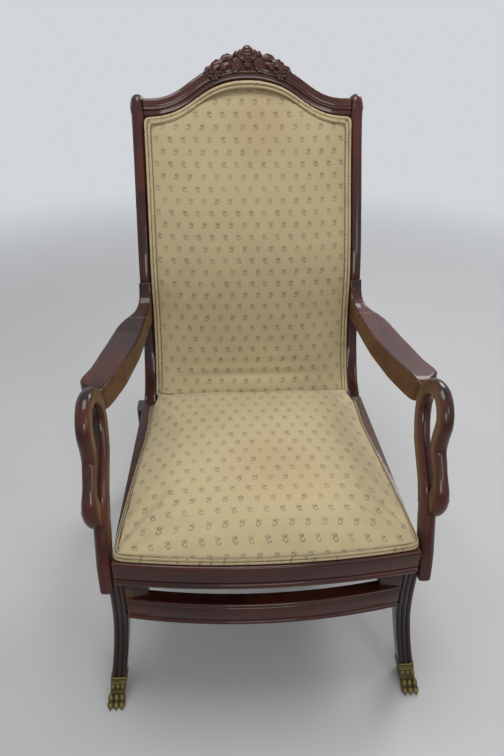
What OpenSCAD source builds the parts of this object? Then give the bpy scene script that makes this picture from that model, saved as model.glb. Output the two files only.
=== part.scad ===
// Platform rocker: an upholstered chair on curved cams that rock over a fixed base,
// with goose-neck supports under the arms, sabre legs and brass paw feet.
// +X is to the right of someone facing the chair, -Y is its front, Z is height above the floor.

/* [Seat frame] */
// Outside width of the seat frame
seat_w = 524; // [500:1:550]
// From the rocking axis forward to the corners of the seat frame
seat_ahead = 325; // [305:1:345]
// From the rocking axis back to the feet of the back posts
seat_behind = 130; // [115:1:150]
// Height of the seat rails
seat_rail_h = 53; // [46:1:62]
// Thickness of the side and rear seat rails at the back
seat_rail_t = 30; // [27:1:34]
// How far the seat frame narrows on each side towards the back
seat_taper = 12; // [6:1:16]
// Thickness of the bowed front seat rail
front_rail_t = 20; // [18:1:24]
// How far the front seat rail bows forward at its centre
seat_bow = 20; // [12:1:28]
// Radius of the beads along the bowed rails
bead_r = 5; // [3:0.5:6]

/* [Rocking] */
// Height of the rocking axis above the tops of the base rails
rock_h = 70; // [64:1:80]
// Height of the cams between base rails and seat rails
cam_h = 53; // [48:1:60]
// Thickness of the cams
cam_t = 27; // [22:1:30]
// Length of the cams
cam_len = 300; // [260:5:330]
// Forward tip at which the cams' front flats lie on the base rails, in degrees
tip_forward = 8; // [6:0.5:9]
// Backward tip at which the cams' rear flats lie on the base rails, in degrees
tip_back = 10; // [8:0.5:11]
// Running gap between the cams and the base rails
cam_gap = 0.3; // [0.2:0.05:0.5]

/* [Springs] */
// Mean radius of a coil spring
coil_r = 13; // [11:0.5:15]
// Diameter of the spring wire
wire_d = 4; // [3:0.25:4.5]
// Turns in one coil spring
coil_turns = 7; // [5:1:8]
// Distance between the two springs of a pair
coil_gap = 90; // [70:1:110]
// Thickness of the steel spring brackets
bracket_t = 3; // [2.5:0.25:4]
// Length of the spring brackets
bracket_len = 140; // [130:1:160]
// Height of a bracket's screwed plate
bracket_plate_h = 30; // [26:1:34]
// Radius of the bracket bolts
bolt_r = 3; // [2.5:0.25:3.5]

/* [Base] */
// Outside width over the base rails
base_w = 516; // [510:1:524]
// Length of the base over the tops of its legs
base_len = 572; // [540:1:580]
// Height of the base rails' tops above the floor
base_h = 290; // [275:1:310]
// Height of the base rails
base_rail_h = 38; // [34:1:46]
// Thickness of the base rails
base_rail_t = 42; // [40:1:50]
// Height of the stretchers under the base rails
stretcher_h = 60; // [50:1:70]
// Thickness of the stretchers
stretcher_t = 25; // [20:1:30]
// How far the front stretcher bows forward at its centre
stretcher_bow = 25; // [15:1:32]

/* [Legs] */
// Thickness of a leg across the chair
leg_t = 29; // [26:1:34]
// Depth of a leg at its top
leg_d = 46; // [40:1:52]
// How far a foot reaches beyond the top of its leg
leg_sweep = 64; // [56:1:76]
// How far a foot splays sideways
leg_splay = 20; // [8:1:24]
// Height of the brass paws
paw_h = 60; // [50:1:70]
// Wall of the brass paws over the leg
paw_wall = 1.5; // [1:0.25:2.5]

/* [Back] */
// Height of the post tops above the seat rails
back_rise = 588; // [565:1:610]
// How far the post tops lie behind the feet of the posts
back_run = 269; // [250:1:285]
// Depth of the back posts, front to back
post_d = 40; // [36:1:44]
// Width of the back posts
post_w = 27; // [24:1:30]
// How far the post tops stand in from the posts' feet on each side
post_draw = 1; // [-4:0.5:8]
// How far the posts draw in at arm height
post_waist = 4; // [0:1:8]
// Width of the rounded ears on top of the posts
ear_w = 29; // [28:1:32]
// Rise of the crest rail from the posts to its centre
crest_rise = 73; // [62:1:84]
// Height of the crest rail
crest_h = 35; // [30:1:40]
// How far the crest rail's ends lie below the tops of the posts
crest_drop = 12; // [8:1:18]
// Thickness of the crest rail
crest_t = 26; // [20:1:32]
// Width of the carving on the crest rail
carving_w = 180; // [150:1:210]
// Height that the rose stands above the crest rail
rose_stand = 27; // [20:1:34]
// Radius of the carved rose
rose_r = 17; // [14:0.5:20]
// Height that the leaves stand above the crest rail beside the rose
leaf_stand = 20; // [14:1:26]
// Thickness of the carving in front of the crest rail
carving_t = 9; // [6:0.5:12]
// Height of the lower back rail
back_rail_h = 50; // [40:1:60]
// Thickness of the panel behind the back
back_panel_t = 5; // [3:0.5:7]

/* [Arms] */
// Height of the arms' tops above the seat rails at their front
arm_rise = 226; // [215:1:240]
// Thickness of the arms at the posts
arm_h = 45; // [40:1:50]
// Thickness of the arms at the goose necks
arm_front_h = 34; // [28:1:40]
// How far the arms' tops fall from front to back
arm_fall = 14; // [4:1:24]
// Overhang of the arm's outer horn beyond the goose neck
horn = 18; // [12:1:24]
// How far the arms' inner faces stand outside the posts' at the front
arm_flare = 46; // [36:1:50]

/* [Goose necks] */
// Height of a goose-neck support
swan_h = 341; // [332:1:352]
// From the front of its tip back to the rear of its loop
swan_d = 198; // [190:1:206]
// Thickness of the neck
swan_t = 30; // [27:1:32]
// How far the stem's middle stands outward of the seat frame
stem_out = 14; // [12:1:16]
// How far the neck stands outward of the stem
swan_lean = 12; // [6:1:14]
// Radius of the middle line of its loop
loop_r = 43; // [40:1:46]
// How far its tip hangs below the top of the seat rails
swan_drop = 78; // [72:1:84]
// How far its tip stands in front of the seat frame's corners
swan_ahead = 17; // [14:1:22]

/* [Upholstery] */
// Thickness of the seat cushion at its edge
seat_edge = 20; // [14:1:26]
// Crown of the seat cushion above its edge
seat_crown = 26; // [16:1:34]
// How far the back cushion stands in front of the posts at its edge
back_proud = 14; // [8:1:20]
// Crown of the back cushion in front of its edge
back_crown = 20; // [12:1:28]
// Width of a webbing strap
strap_w = 50; // [40:1:60]
// Thickness of the webbing
strap_t = 1.5; // [1:0.25:2]
// Gap between the soft pieces and the wood
soft_gap = 0.8; // [0.5:0.1:1.5]

/* [Hidden] */

$fn = 48;
mahogany = "#4a1a14";
brass = "#8d7434";
steel = "#6d6f70";
cloth = "#c5ae74";
jute = "#a98c5c";
cambric = "#26262a";

over = 1;          // overrun of cuts through a face
joint_gap = 0.3;   // gap where shaped wood faces meet
curve_n = 12;      // points on each stretch of a curve

// The rocking axis and the levels that follow from it
rock_y = -49;
rock_z = base_h + rock_h;
seat_bottom = base_h + cam_h;
seat_top = seat_bottom + seat_rail_h;
seat_half = seat_w / 2;
rail_in = seat_half - seat_taper - seat_rail_t;
foot_half = seat_half - seat_taper;
base_half = base_w / 2;
seat_front = rock_y - seat_ahead;
post_foot = rock_y + seat_behind;
base_front = rock_y - base_len / 2;
base_back = rock_y + base_len / 2;
stretcher_z = base_h - base_rail_h - stretcher_h;

// Curves through control points, four to a stretch, each stretch starting where the last ends
function blend3(p, t) = pow(1 - t, 3) * p[0] + 3 * pow(1 - t, 2) * t * p[1]
    + 3 * (1 - t) * t * t * p[2] + pow(t, 3) * p[3];
function curve(p, n = curve_n) = [
    for (s = [0 : 3 : len(p) - 4], i = [0 : n - 1])
        blend3([p[s], p[s + 1], p[s + 2], p[s + 3]], i / n),
    p[len(p) - 1]];
function sized(shares, size, from = [0, 0]) = [
    for (s = shares) [from[0] + s[0] * size[0], from[1] + s[1] * size[1]]];
function turned(list) = [for (i = [len(list) - 1 : -1 : 0]) list[i]];
function heading(path, i) = let (
    a = path[max(i - 1, 0)],
    b = path[min(i + 1, len(path) - 1)]) (b - a) / norm(b - a);
// The same path moved sideways, to its right as it is drawn
function beside(path, d) = [
    for (i = [0 : len(path) - 1]) path[i] + d * [heading(path, i)[1], -heading(path, i)[0]]];

// A side profile in Y and Z, as thick as x0 to x1
module side_slab(x0, x1) {
    translate([x0, 0, 0])
        rotate([90, 0, 90])
            linear_extrude(x1 - x0)
                children();
}

// A front profile in X and Z, as deep as y0 to y1
module front_slab(y0, y1) {
    translate([0, y1, 0])
        rotate([90, 0, 0])
            linear_extrude(y1 - y0)
                children();
}

module on_side(side) {
    mirror([side < 0 ? 1 : 0, 0, 0])
        children();
}

module both_sides() {
    for (side = [-1, 1])
        on_side(side)
            children();
}

// Line of the back posts' front faces, from the feet up: an S that leans back above the arms
post_line_shares = [[0, 0], [0.234, 0.039], [0.342, 0.236], [0.378, 0.4],
    [0.414, 0.547], [0.773, 0.759], [1, 1]];
post_line = curve(sized(post_line_shares, [back_run, back_rise], [post_foot, seat_top]));
post_last = post_line[len(post_line) - 1];
back_lean = atan2(back_run * (1 - post_line_shares[5][0]), back_rise * (1 - post_line_shares[5][1]));
post_z_to_y = concat([for (p = post_line) [p[1], p[0]]],
    [[post_last[1] + back_rise, post_last[0] + back_rise * tan(back_lean)]]);
function post_front(z) = lookup(z, post_z_to_y);

// Half width over the posts, drawn in at arm height
post_span = back_rise + seat_rail_h;
function post_outer(z) = let (s = min(max((z - seat_bottom) / post_span, 0), 1))
    foot_half - post_draw * s - post_waist * sin(180 * s);
function post_inner(z) = post_outer(z) - post_w;
post_levels = [for (i = [0 : curve_n]) seat_bottom + (post_span + crest_rise + post_d) * i / curve_n];

module post_band(proud = 0) {
    polygon(concat(beside(post_line, -proud), turned(beside(post_line, post_d))));
}

module post_blank() {
    polygon(concat(
        [for (z = post_levels) [post_outer(z), z]],
        [for (z = turned(post_levels)) [post_inner(z), z]]));
}

// The space between the posts, less a gap on each side
module between_posts(gap) {
    intersection() {
        children();
        front_slab(post_foot - seat_ahead, post_foot + seat_ahead + back_run)
            polygon(concat(
                [for (z = post_levels) [post_inner(z) - gap, z]],
                [for (z = turned(post_levels)) [gap - post_inner(z), z]]));
    }
}

// A bowed rail: a ring segment with beads, its front corners at (half, front)
function bow_radius(half, bow) = (half * half + bow * bow) / (2 * bow);
function bow_centre(half, bow, front) = front + sqrt(pow(bow_radius(half, bow), 2) - half * half);

module bowed_rail(half, front, bow, thick, z, high, beads) {
    radius = bow_radius(half, bow);
    swing = asin(half / radius) + 1;
    intersection() {
        translate([0, bow_centre(half, bow, front), z])
            rotate([0, 0, -90 - swing])
                rotate_extrude(angle = 2 * swing, $fn = 360)
                    union() {
                        translate([radius - thick, 0])
                            square([thick, high]);
                        for (at = beads)
                            translate([radius - bead_r / 2, at])
                                circle(bead_r);
                    }
        translate([-half, front - bow - 2 * bead_r, z])
            cube([2 * half, bow + thick + seat_ahead, high]);
    }
}

// Legs: sabre curves drawn forward of the leg's top, dropped to the floor
knee_share = 0.69;   // height at which a leg starts to sweep
leg_front_shares = [[0, 1], [0, 0.65], [0.31, 0.31], [1, 0]];
leg_rear_shares = [[0, 1], [0.1, 0.65], [0.68, 0.31], [1, 0]];
toe_depth_share = 1.04;
leg_front_line = curve(sized(leg_front_shares, [leg_sweep, base_h * knee_share]));
leg_rear_line = curve([for (s = leg_rear_shares)
    [-leg_d + s[0] * (leg_sweep + leg_d - leg_d * toe_depth_share), s[1] * base_h * knee_share]]);
leg_inner = base_half;
splay_line = curve([[0, base_h], [0, base_h * 0.6], [leg_splay * 0.75, base_h * 0.3], [leg_splay, 0]]);

module leg_blank(grow = 0) {
    intersection() {
        side_slab(leg_inner - leg_t, leg_inner + 3 * leg_t)
            mirror([1, 0])
                polygon(concat([[grow, base_h]], [for (p = leg_front_line) p + [grow, 0]],
                    [for (p = turned(leg_rear_line)) p - [grow, 0]], [[-leg_d - grow, base_h]]));
        front_slab(-2 * leg_sweep, 2 * leg_sweep)
            polygon(concat(
                [for (p = splay_line) p + [leg_inner + leg_t + grow, 0]],
                [for (p = turned(splay_line)) p + [leg_inner - grow, 0]]));
    }
}

module leg_layer(z0, z1) {
    intersection() {
        children();
        translate([0, -3 * leg_sweep, z0])
            cube([base_w, 6 * leg_sweep, z1 - z0]);
    }
}

tenon_h = paw_h / 3;
tenon_in = 5;      // how far a leg's tenon is cut in on each side

module leg() {
    color(mahogany) {
        leg_layer(paw_h, base_h)
            leg_blank();
        leg_layer(paw_h - tenon_h, paw_h)
            leg_blank(-tenon_in);
    }
}

toe_count = 3;
toe_r = (leg_t + 2 * paw_wall) / toe_count * 0.56;
toe_len = leg_d / 2;
toe_proud = toe_r * 0.7;

module paw() {
    width = leg_t + 2 * paw_wall;
    color(brass) {
        difference() {
            leg_layer(0, paw_h)
                leg_blank(paw_wall);
            leg_layer(paw_h - tenon_h - joint_gap, paw_h + over)
                leg_blank(joint_gap - tenon_in);
        }
        for (i = [0 : toe_count - 1])
            translate([leg_inner + leg_splay - paw_wall + width * (i + 0.5) / toe_count,
                    -leg_sweep - toe_proud, toe_r]) {
                sphere(toe_r, $fn = 24);
                rotate([-90, 0, 0])
                    cylinder(r = toe_r, h = toe_len, $fn = 24);
            }
    }
}

module at_front(side) {
    translate([0, base_front, 0])
        on_side(side)
            children();
}

module at_rear(side) {
    translate([0, base_back, 0])
        mirror([0, 1, 0])
            on_side(side)
                children();
}

module front_leg_left() { at_front(-1) leg(); }
module front_leg_right() { at_front(1) leg(); }
module rear_leg_left() { at_rear(-1) leg(); }
module rear_leg_right() { at_rear(1) leg(); }
module front_paw_left() { at_front(-1) paw(); }
module front_paw_right() { at_front(1) paw(); }
module rear_paw_left() { at_rear(-1) paw(); }
module rear_paw_right() { at_rear(1) paw(); }

// Base rails: flat tracks for the cams, screwed to the legs' inner faces
rail_inner = base_half - base_rail_t;
bolt_span = bracket_len - 6 * bolt_r;
bolt_depth = base_rail_t / 2;
bolt_hole_r = bolt_r + 0.05;
head_r = 1.8 * bolt_r;
head_h = 1.2 * bolt_r;
plate_drop = 3;    // height of a bracket's plate below the top of its rail
lower_plate_top = base_h - plate_drop;
lower_shelf = lower_plate_top - bracket_plate_h - bracket_t;
upper_shelf = seat_bottom - bracket_t - cam_h / 6;
spring_x = min(rail_inner, rail_in) - bracket_t - coil_r - 1.5 * wire_d;
shelf_inner = spring_x - coil_r - 1.5 * wire_d;

module bolt_row(x, z, r, h) {
    for (end = [-1, 1])
        translate([x, rock_y + end * bolt_span / 2, z])
            rotate([0, 90, 0])
                cylinder(r = r, h = h);
}

lower_bolt_z = lower_plate_top - bracket_plate_h / 2;
upper_plate_x = rail_in - bracket_t;
upper_bolt_z = seat_bottom + bracket_plate_h / 2;

module base_rail() {
    color(mahogany)
        difference() {
            translate([rail_inner, base_front, base_h - base_rail_h])
                cube([base_rail_t, base_len, base_rail_h]);
            bolt_row(rail_inner - over, lower_bolt_z, bolt_hole_r, bolt_depth + over);
        }
}
module base_rail_left() { on_side(-1) base_rail(); }
module base_rail_right() { on_side(1) base_rail(); }

module front_stretcher() {
    color(mahogany)
        bowed_rail(base_half, base_front, stretcher_bow, stretcher_t, stretcher_z, stretcher_h,
            [bead_r, stretcher_h - bead_r]);
}

module rear_stretcher() {
    color(mahogany)
        translate([-base_half, base_back - stretcher_t, stretcher_z])
            cube([base_w, stretcher_t, stretcher_h]);
}

module base_corner_blocks() {
    block = base_rail_t - 2 * bead_r;
    top = stretcher_z + stretcher_h;
    back_r = bow_radius(base_half, stretcher_bow) - stretcher_t;
    front_face = bow_centre(base_half, stretcher_bow, base_front) + joint_gap
        - sqrt(pow(back_r, 2) - pow(base_half, 2));
    color(mahogany)
        both_sides() {
            translate([base_half - block, front_face, top - block])
                cube([block, block + leg_d / 2, block]);
            translate([base_half - block, base_back - stretcher_t - block - leg_d / 2, top - block])
                cube([block, block + leg_d / 2, block]);
        }
}

// Spring brackets: angle plates on the base rails and on the seat rails
module lower_bracket() {
    color(steel) {
        difference() {
            translate([rail_inner - bracket_t, rock_y - bracket_len / 2, lower_shelf])
                cube([bracket_t, bracket_len, bracket_plate_h + bracket_t]);
            bolt_row(rail_inner - bracket_t - over, lower_bolt_z, bolt_hole_r, bracket_t + 2 * over);
        }
        translate([shelf_inner, rock_y - bracket_len / 2, lower_shelf])
            cube([rail_inner - shelf_inner, bracket_len, bracket_t]);
    }
}

module upper_bracket() {
    color(steel) {
        difference() {
            translate([upper_plate_x, rock_y - bracket_len / 2, upper_shelf])
                cube([bracket_t, bracket_len, seat_bottom + bracket_plate_h - upper_shelf]);
            bolt_row(upper_plate_x - over, upper_bolt_z, bolt_hole_r, bracket_t + 2 * over);
        }
        translate([shelf_inner, rock_y - bracket_len / 2, upper_shelf])
            cube([upper_plate_x + bracket_t - shelf_inner, bracket_len, bracket_t]);
    }
}

module bracket_bolts(x, z, depth) {
    color(steel)
        both_sides() {
            bolt_row(x - head_h, z, head_r, head_h);
            bolt_row(x - head_h / 2, z, bolt_r, depth + bracket_t + head_h / 2 - joint_gap);
        }
}

module lower_spring_bracket_left() { on_side(-1) lower_bracket(); }
module lower_spring_bracket_right() { on_side(1) lower_bracket(); }
module lower_bracket_bolts() { bracket_bolts(rail_inner - bracket_t, lower_bolt_z, bolt_depth); }
module upper_spring_bracket_left() { on_side(-1) upper_bracket(); }
module upper_spring_bracket_right() { on_side(1) upper_bracket(); }
module upper_bracket_bolts() { bracket_bolts(upper_plate_x, upper_bolt_z, seat_rail_t / 2); }

// A coil spring as one tube along a helix, standing straight on its two shelves
coil_sides = 6;
coil_rings = 8;
coil_low = lower_shelf + bracket_t;
coil_high = upper_shelf;
coil_climb = coil_high - coil_low - 3 * wire_d;
function on_coil(turn) = [coil_r * cos(360 * turn), coil_r * sin(360 * turn),
    coil_low + 1.5 * wire_d + coil_climb * turn / coil_turns];
coil_path = concat(
    [[coil_r, 0, coil_low]],
    [for (i = [0 : coil_turns * coil_rings]) on_coil(i / coil_rings)],
    [[coil_r, 0, coil_high]]);
coil_ends = len(coil_path) - 1;
function along_coil(i) = i == 0 || i == coil_ends ? [0, 0, 1]
    : let (step = coil_path[i + 1] - coil_path[i - 1]) step / norm(step);
function outward(i) = let (p = coil_path[i]) [p[0], p[1], 0] / norm([p[0], p[1]]);
function ring_point(i, k) = let (
    a = 360 * k / coil_sides,
    side = cross(along_coil(i), outward(i)),
    flat = i == 1 || i == coil_ends - 1 ? 1 / cos(37) : 1)
    coil_path[i] + wire_d / 2 * (outward(i) * cos(a) + side / norm(side) * sin(a) * flat);
coil_points = [for (i = [0 : coil_ends], k = [0 : coil_sides - 1]) ring_point(i, k)];
coil_faces = concat(
    [for (i = [0 : coil_ends - 1], k = [0 : coil_sides - 1]) let (
        a = i * coil_sides + k,
        b = i * coil_sides + (k + 1) % coil_sides) each [
            [a, a + coil_sides, b], [b, a + coil_sides, b + coil_sides]]],
    [for (k = [1 : coil_sides - 2]) [0, k, k + 1]],
    [for (k = [1 : coil_sides - 2]) let (c = coil_ends * coil_sides) [c, c + k + 1, c + k]]);
// Least gap between points of one turn and the next, less the wire
coil_self_gap = min([for (i = [1 : coil_ends - 1 - coil_rings], j = [coil_rings - 1 : coil_rings])
    norm(coil_path[i] - coil_path[i + j])]) - wire_d;
echo(coil_self_gap = coil_self_gap);

module spring_pair() {
    color(steel)
        for (end = [-1, 1])
            translate([spring_x, rock_y + end * coil_gap / 2, 0])
                polyhedron(coil_points, coil_faces);
}
module spring_pair_left() { on_side(-1) spring_pair(); }
module spring_pair_right() { on_side(1) spring_pair(); }

// Cams: an arc about the rocking axis, run out straight to the stops
cam_r = rock_h - cam_gap;
cam_end_front = cam_len / 2;
function cam_drop(a) = [cam_r * sin(a), -cam_r * cos(a)];
function cam_end(a) = let (s = a < 0 ? -1 : 1, p = cam_drop(a))
    [s * cam_end_front, p[1] + (cam_end_front - abs(p[0])) * tan(abs(a))];
cam_arc = [for (i = [0 : curve_n]) cam_drop(-tip_forward + (tip_forward + tip_back) * i / curve_n)];

module rocker_cam() {
    color(mahogany)
        side_slab(foot_half - cam_t, foot_half)
            translate([rock_y, rock_z])
                polygon(concat([cam_end(-tip_forward)], cam_arc, [cam_end(tip_back)],
                    [[cam_end_front, cam_h - rock_h], [-cam_end_front, cam_h - rock_h]]));
}
module rocker_cam_left() { on_side(-1) rocker_cam(); }
module rocker_cam_right() { on_side(1) rocker_cam(); }

// Seat frame
front_bow_r = bow_radius(seat_half, seat_bow);
front_bow_y = bow_centre(seat_half, seat_bow, seat_front);
swan_screw_y = seat_front + front_rail_t + 2.6 * bolt_r;
rail_straight = swan_d * 0.4;   // length of a side rail's front end that stays parallel
function swan_screw_z(i) = seat_top - seat_rail_h * (0.15 + 0.35 * i);

module swan_screw_row(x, r, h) {
    for (i = [0, 1])
        translate([x, swan_screw_y, swan_screw_z(i)])
            rotate([0, 90, 0])
                cylinder(r = r, h = h);
}

module seat_rail() {
    color(mahogany)
        difference() {
            intersection() {
                translate([0, 0, seat_bottom])
                    linear_extrude(seat_rail_h)
                        polygon([[rail_in, seat_front], [seat_half, seat_front],
                            [seat_half, seat_front + rail_straight],
                            [foot_half, post_foot], [rail_in, post_foot]]);
                translate([0, front_bow_y, seat_bottom])
                    cylinder(r = front_bow_r - front_rail_t - joint_gap, h = seat_rail_h, $fn = 360);
            }
            bolt_row(rail_in - over, upper_bolt_z, bolt_hole_r, seat_rail_t / 2 + over);
            swan_screw_row(rail_in - over, bolt_hole_r, seat_w);
        }
}
module seat_rail_left() { on_side(-1) seat_rail(); }
module seat_rail_right() { on_side(1) seat_rail(); }

module seat_front_rail() {
    color(mahogany)
        bowed_rail(seat_half, seat_front, seat_bow, front_rail_t, seat_bottom, seat_rail_h, [bead_r]);
}

module seat_rear_rail() {
    color(mahogany)
        between_posts(0)
            translate([-seat_half, post_foot, seat_bottom])
                cube([seat_w, seat_rail_t, seat_rail_h]);
}

block_h = seat_rail_h - 3 * bead_r;
block_z = seat_top - block_h - strap_t;
module corner_block(x, y, dx, dy) {
    translate([x, y, block_z])
        linear_extrude(block_h)
            polygon([[0, 0], [dx, 0], [0, dy]]);
}

module seat_corner_blocks() {
    block = 2 * seat_rail_t;
    color(mahogany)
        both_sides() {
            difference() {
                intersection() {
                    corner_block(rail_in, seat_front, -block - front_rail_t, block + front_rail_t);
                    translate([0, front_bow_y, block_z])
                        cylinder(r = front_bow_r - front_rail_t - joint_gap, h = block_h, $fn = 360);
                }
                swan_screw_row(rail_in - 2 * block, head_r + joint_gap, 2 * block + over);
            }
            corner_block(rail_in, post_foot, -block, -block);
        }
}

module seat_dust_cover() {
    inner = upper_plate_x - head_h - joint_gap;
    front = seat_front + front_rail_t + joint_gap;
    color(cambric)
        translate([-inner, front, block_z - strap_t])
            cube([2 * inner, post_foot - front, strap_t]);
}

strap_rows = 5;
strap_columns = 4;
web_hold = seat_rail_t / 2;   // width of webbing tacked on a side rail
module seat_webbing() {
    run = post_foot + seat_rail_t * 0.6 - seat_front - front_rail_t / 2;
    color(jute) {
        for (i = [0 : strap_columns - 1])
            translate([(i - (strap_columns - 1) / 2) * 2 * rail_in / strap_columns
                    - strap_w / 2, seat_front + front_rail_t / 2, seat_top])
                cube([strap_w, run, strap_t]);
        for (i = [0 : strap_rows - 1])
            translate([-rail_in - web_hold, seat_front + 2 * front_rail_t
                    + i * (seat_ahead + seat_behind - 3 * front_rail_t - strap_w) / (strap_rows - 1),
                    seat_top + strap_t])
                cube([2 * (rail_in + web_hold), strap_w, strap_t]);
        for (side = [-1, 1])
            translate([side * (rail_in + web_hold / 2) - web_hold / 4,
                    seat_front + 2 * front_rail_t, seat_top])
                cube([web_hold / 2, seat_ahead + seat_behind - 3 * front_rail_t, strap_t]);
    }
}

// A cushion as one closed skin: two grids of points that share their rim
function pad_faces(nu, nv) = let (row = nu + 1, back = (nu + 1) * (nv + 1)) concat(
    [for (j = [0 : nv - 1], i = [0 : nu - 1]) let (a = j * row + i) each [
        [a, a + row, a + 1], [a + 1, a + row, a + row + 1]]],
    [for (j = [0 : nv - 1], i = [0 : nu - 1]) let (a = back + j * row + i) each [
        [a, a + 1, a + row], [a + 1, a + row + 1, a + row]]],
    [for (i = [0 : nu - 1]) let (a = i, b = back + i) each [[a, a + 1, b], [a + 1, b + 1, b]]],
    [for (i = [0 : nu - 1]) let (a = nv * row + i, b = back + a) each [
        [a, b, a + 1], [a + 1, b, b + 1]]],
    [for (j = [0 : nv - 1]) let (a = j * row, b = back + a) each [
        [a, b, a + row], [a + row, b, b + row]]],
    [for (j = [0 : nv - 1]) let (a = j * row + nu, b = back + a) each [
        [a, a + row, b], [a + row, b + row, b]]]);
// Height of a crown over a unit square, rounded down to nothing at its rim
function crown(u, v) = pow(max(1 - pow(abs(u), 3), 0), 0.6) * pow(max(1 - pow(abs(v), 4), 0), 0.6);

pad_nu = 18;
pad_nv = 22;
pad_z = seat_top + 2 * strap_t + joint_gap;
seat_pull_share = 0.012;   // how far the seat cushion's sides draw in between its corners
rear_pad_half = post_inner(seat_top + seat_edge) - 4 * soft_gap;
front_pad_half = seat_half - 2 * soft_gap;
pad_front = seat_front + soft_gap;
pad_back_low = post_foot - back_proud - back_crown / 4;
pad_back_top = post_front(pad_z + seat_edge) - back_proud - back_crown * 0.65;
function bow_at(x) = front_bow_y - sqrt(pow(front_bow_r, 2) - x * x) - seat_front;
function seat_pad_point(u, v, z, back) = let (
    half = front_pad_half + (rear_pad_half - front_pad_half) * pow((v + 1) / 2, 1.5),
    x = u * half * (1 - seat_pull_share * (1 - v * v)),
    y = pad_front + (back - pad_front) * (v + 1) / 2)
    [x, y + bow_at(x) * (1 - v) / 2, z];
seat_pad_points = concat(
    [for (j = [0 : pad_nv], i = [0 : pad_nu]) let (u = 2 * i / pad_nu - 1, v = 2 * j / pad_nv - 1)
        seat_pad_point(u, v, pad_z, pad_back_low)],
    [for (j = [0 : pad_nv], i = [0 : pad_nu]) let (u = 2 * i / pad_nu - 1, v = 2 * j / pad_nv - 1)
        seat_pad_point(u, v, pad_z + seat_edge + seat_crown * crown(u, v), pad_back_top)]);

module seat_cushion() {
    color(cloth)
        polyhedron(seat_pad_points, [for (f = pad_faces(pad_nu, pad_nv)) turned(f)]);
}

// Back posts, crest rail and what they carry
foot_d = post_d + seat_rail_t / 2;
module post() {
    color(mahogany) {
        difference() {
            intersection() {
                side_slab(0, seat_half)
                    union() {
                        post_band();
                        translate([post_foot, seat_bottom])
                            square([foot_d, seat_rail_h]);
                    }
                front_slab(post_foot - seat_ahead, post_foot + seat_ahead + back_run)
                    post_blank();
            }
            arm_dowel(bolt_hole_r * 1.5);
        }
        translate([post_inner(post_last[1]), post_last[0], post_last[1]])
            rotate([-back_lean, 0, 0])
                translate([0, post_d / 2, 0])
                    rotate([0, 90, 0])
                        cylinder(r = post_d / 2, h = ear_w);
    }
}
module back_post_left() { on_side(-1) post(); }
module back_post_right() { on_side(1) post(); }

// The crest lies in the plane of the posts' upper fronts; its places are across and up that plane
crest_half = post_outer(post_last[1]) - post_w / 2;
crest_foot = post_d / 2 - crest_drop - crest_h;   // lower edge of the rail at the posts
crest_line_shares = [[0, 1], [0.17, 1], [0.28, 0.88], [0.383, 0.66],
    [0.5, 0.42], [0.62, 0.03], [0.86, 0]];
crest_right = concat(
    curve(sized(crest_line_shares, [crest_half, crest_rise], [0, crest_foot])),
    [[crest_half, crest_foot]]);
crest_left = [for (i = [len(crest_right) - 1 : -1 : 1]) [-crest_right[i][0], crest_right[i][1]]];
crest_low = concat(crest_left, crest_right);
crest_top = beside(crest_low, -crest_h);
function crest_at(x) = lookup(x, crest_top);
function crest_low_at(x) = lookup(x, crest_low);

module in_crest_plane() {
    translate([0, post_last[0], post_last[1]])
        rotate([90 - back_lean, 0, 0])
            children();
}

module crest_blank() {
    translate([0, 0, -crest_t])
        linear_extrude(crest_t)
            polygon(concat(crest_top, turned(crest_low)));
}

module crest_rail() {
    color(mahogany)
        between_posts(joint_gap)
            in_crest_plane()
                crest_blank();
}

// Carving: a rose over rows of leaves that stand above the rail and lie on its face
leaf_rows = 4;
carving_half = carving_w / 2;
function leaf_top(x) = crest_at(x) + over + leaf_stand * sqrt(max(1 - pow(x / carving_half, 2), 0))
    - leaf_stand / 5 * abs(sin(180 * leaf_rows * abs(x) / carving_half));
function leaf_low(x) = crest_at(x) - crest_h / 2
    - crest_h / 6 * sin(180 * leaf_rows * abs(x) / carving_half);
leaf_places = [for (i = [-leaf_rows * 6 : leaf_rows * 6]) carving_half * i / (leaf_rows * 6)];
rose_at = crest_at(0) + rose_stand - rose_r;

module crest_carving() {
    color(mahogany)
        in_crest_plane()
            difference() {
                union() {
                    translate([0, 0, -crest_t / 2])
                        linear_extrude((crest_t + carving_t) / 2)
                            polygon(concat(
                                [for (x = leaf_places) [x, leaf_top(x)]],
                                [for (x = turned(leaf_places)) [x, leaf_low(x)]]));
                    translate([0, rose_at, -crest_t / 2]) {
                        cylinder(r = rose_r, h = crest_t / 2 + carving_t);
                        translate([0, 0, crest_t / 2 + carving_t])
                            rotate_extrude()
                                translate([rose_r / 2, 0])
                                    circle(rose_r / 4);
                        cylinder(r = rose_r / 3, h = crest_t / 2 + carving_t + rose_r / 5);
                    }
                }
                crest_blank();
            }
}

back_web_in = post_d * 0.4;   // the webbing's depth behind the posts' front faces
back_rail_z = seat_top + strap_w / 2;
// The posts' line run on to the top of the crest rail
back_line = concat(post_line, [post_last + [sin(back_lean), cos(back_lean)] * (crest_rise + post_d)]);

// Everything below the crest rail's lower edge, down to the lower back rail
module under_crest(gap) {
    intersection() {
        in_crest_plane()
            translate([0, 0, -back_rise])
                linear_extrude(2 * back_rise)
                    polygon(concat(beside(crest_low, gap),
                        [[crest_half, -2 * back_rise], [-crest_half, -2 * back_rise]]));
        translate([-seat_half, post_foot, back_rail_z])
            cube([seat_w, back_rise, 2 * back_rise]);
    }
}

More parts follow.
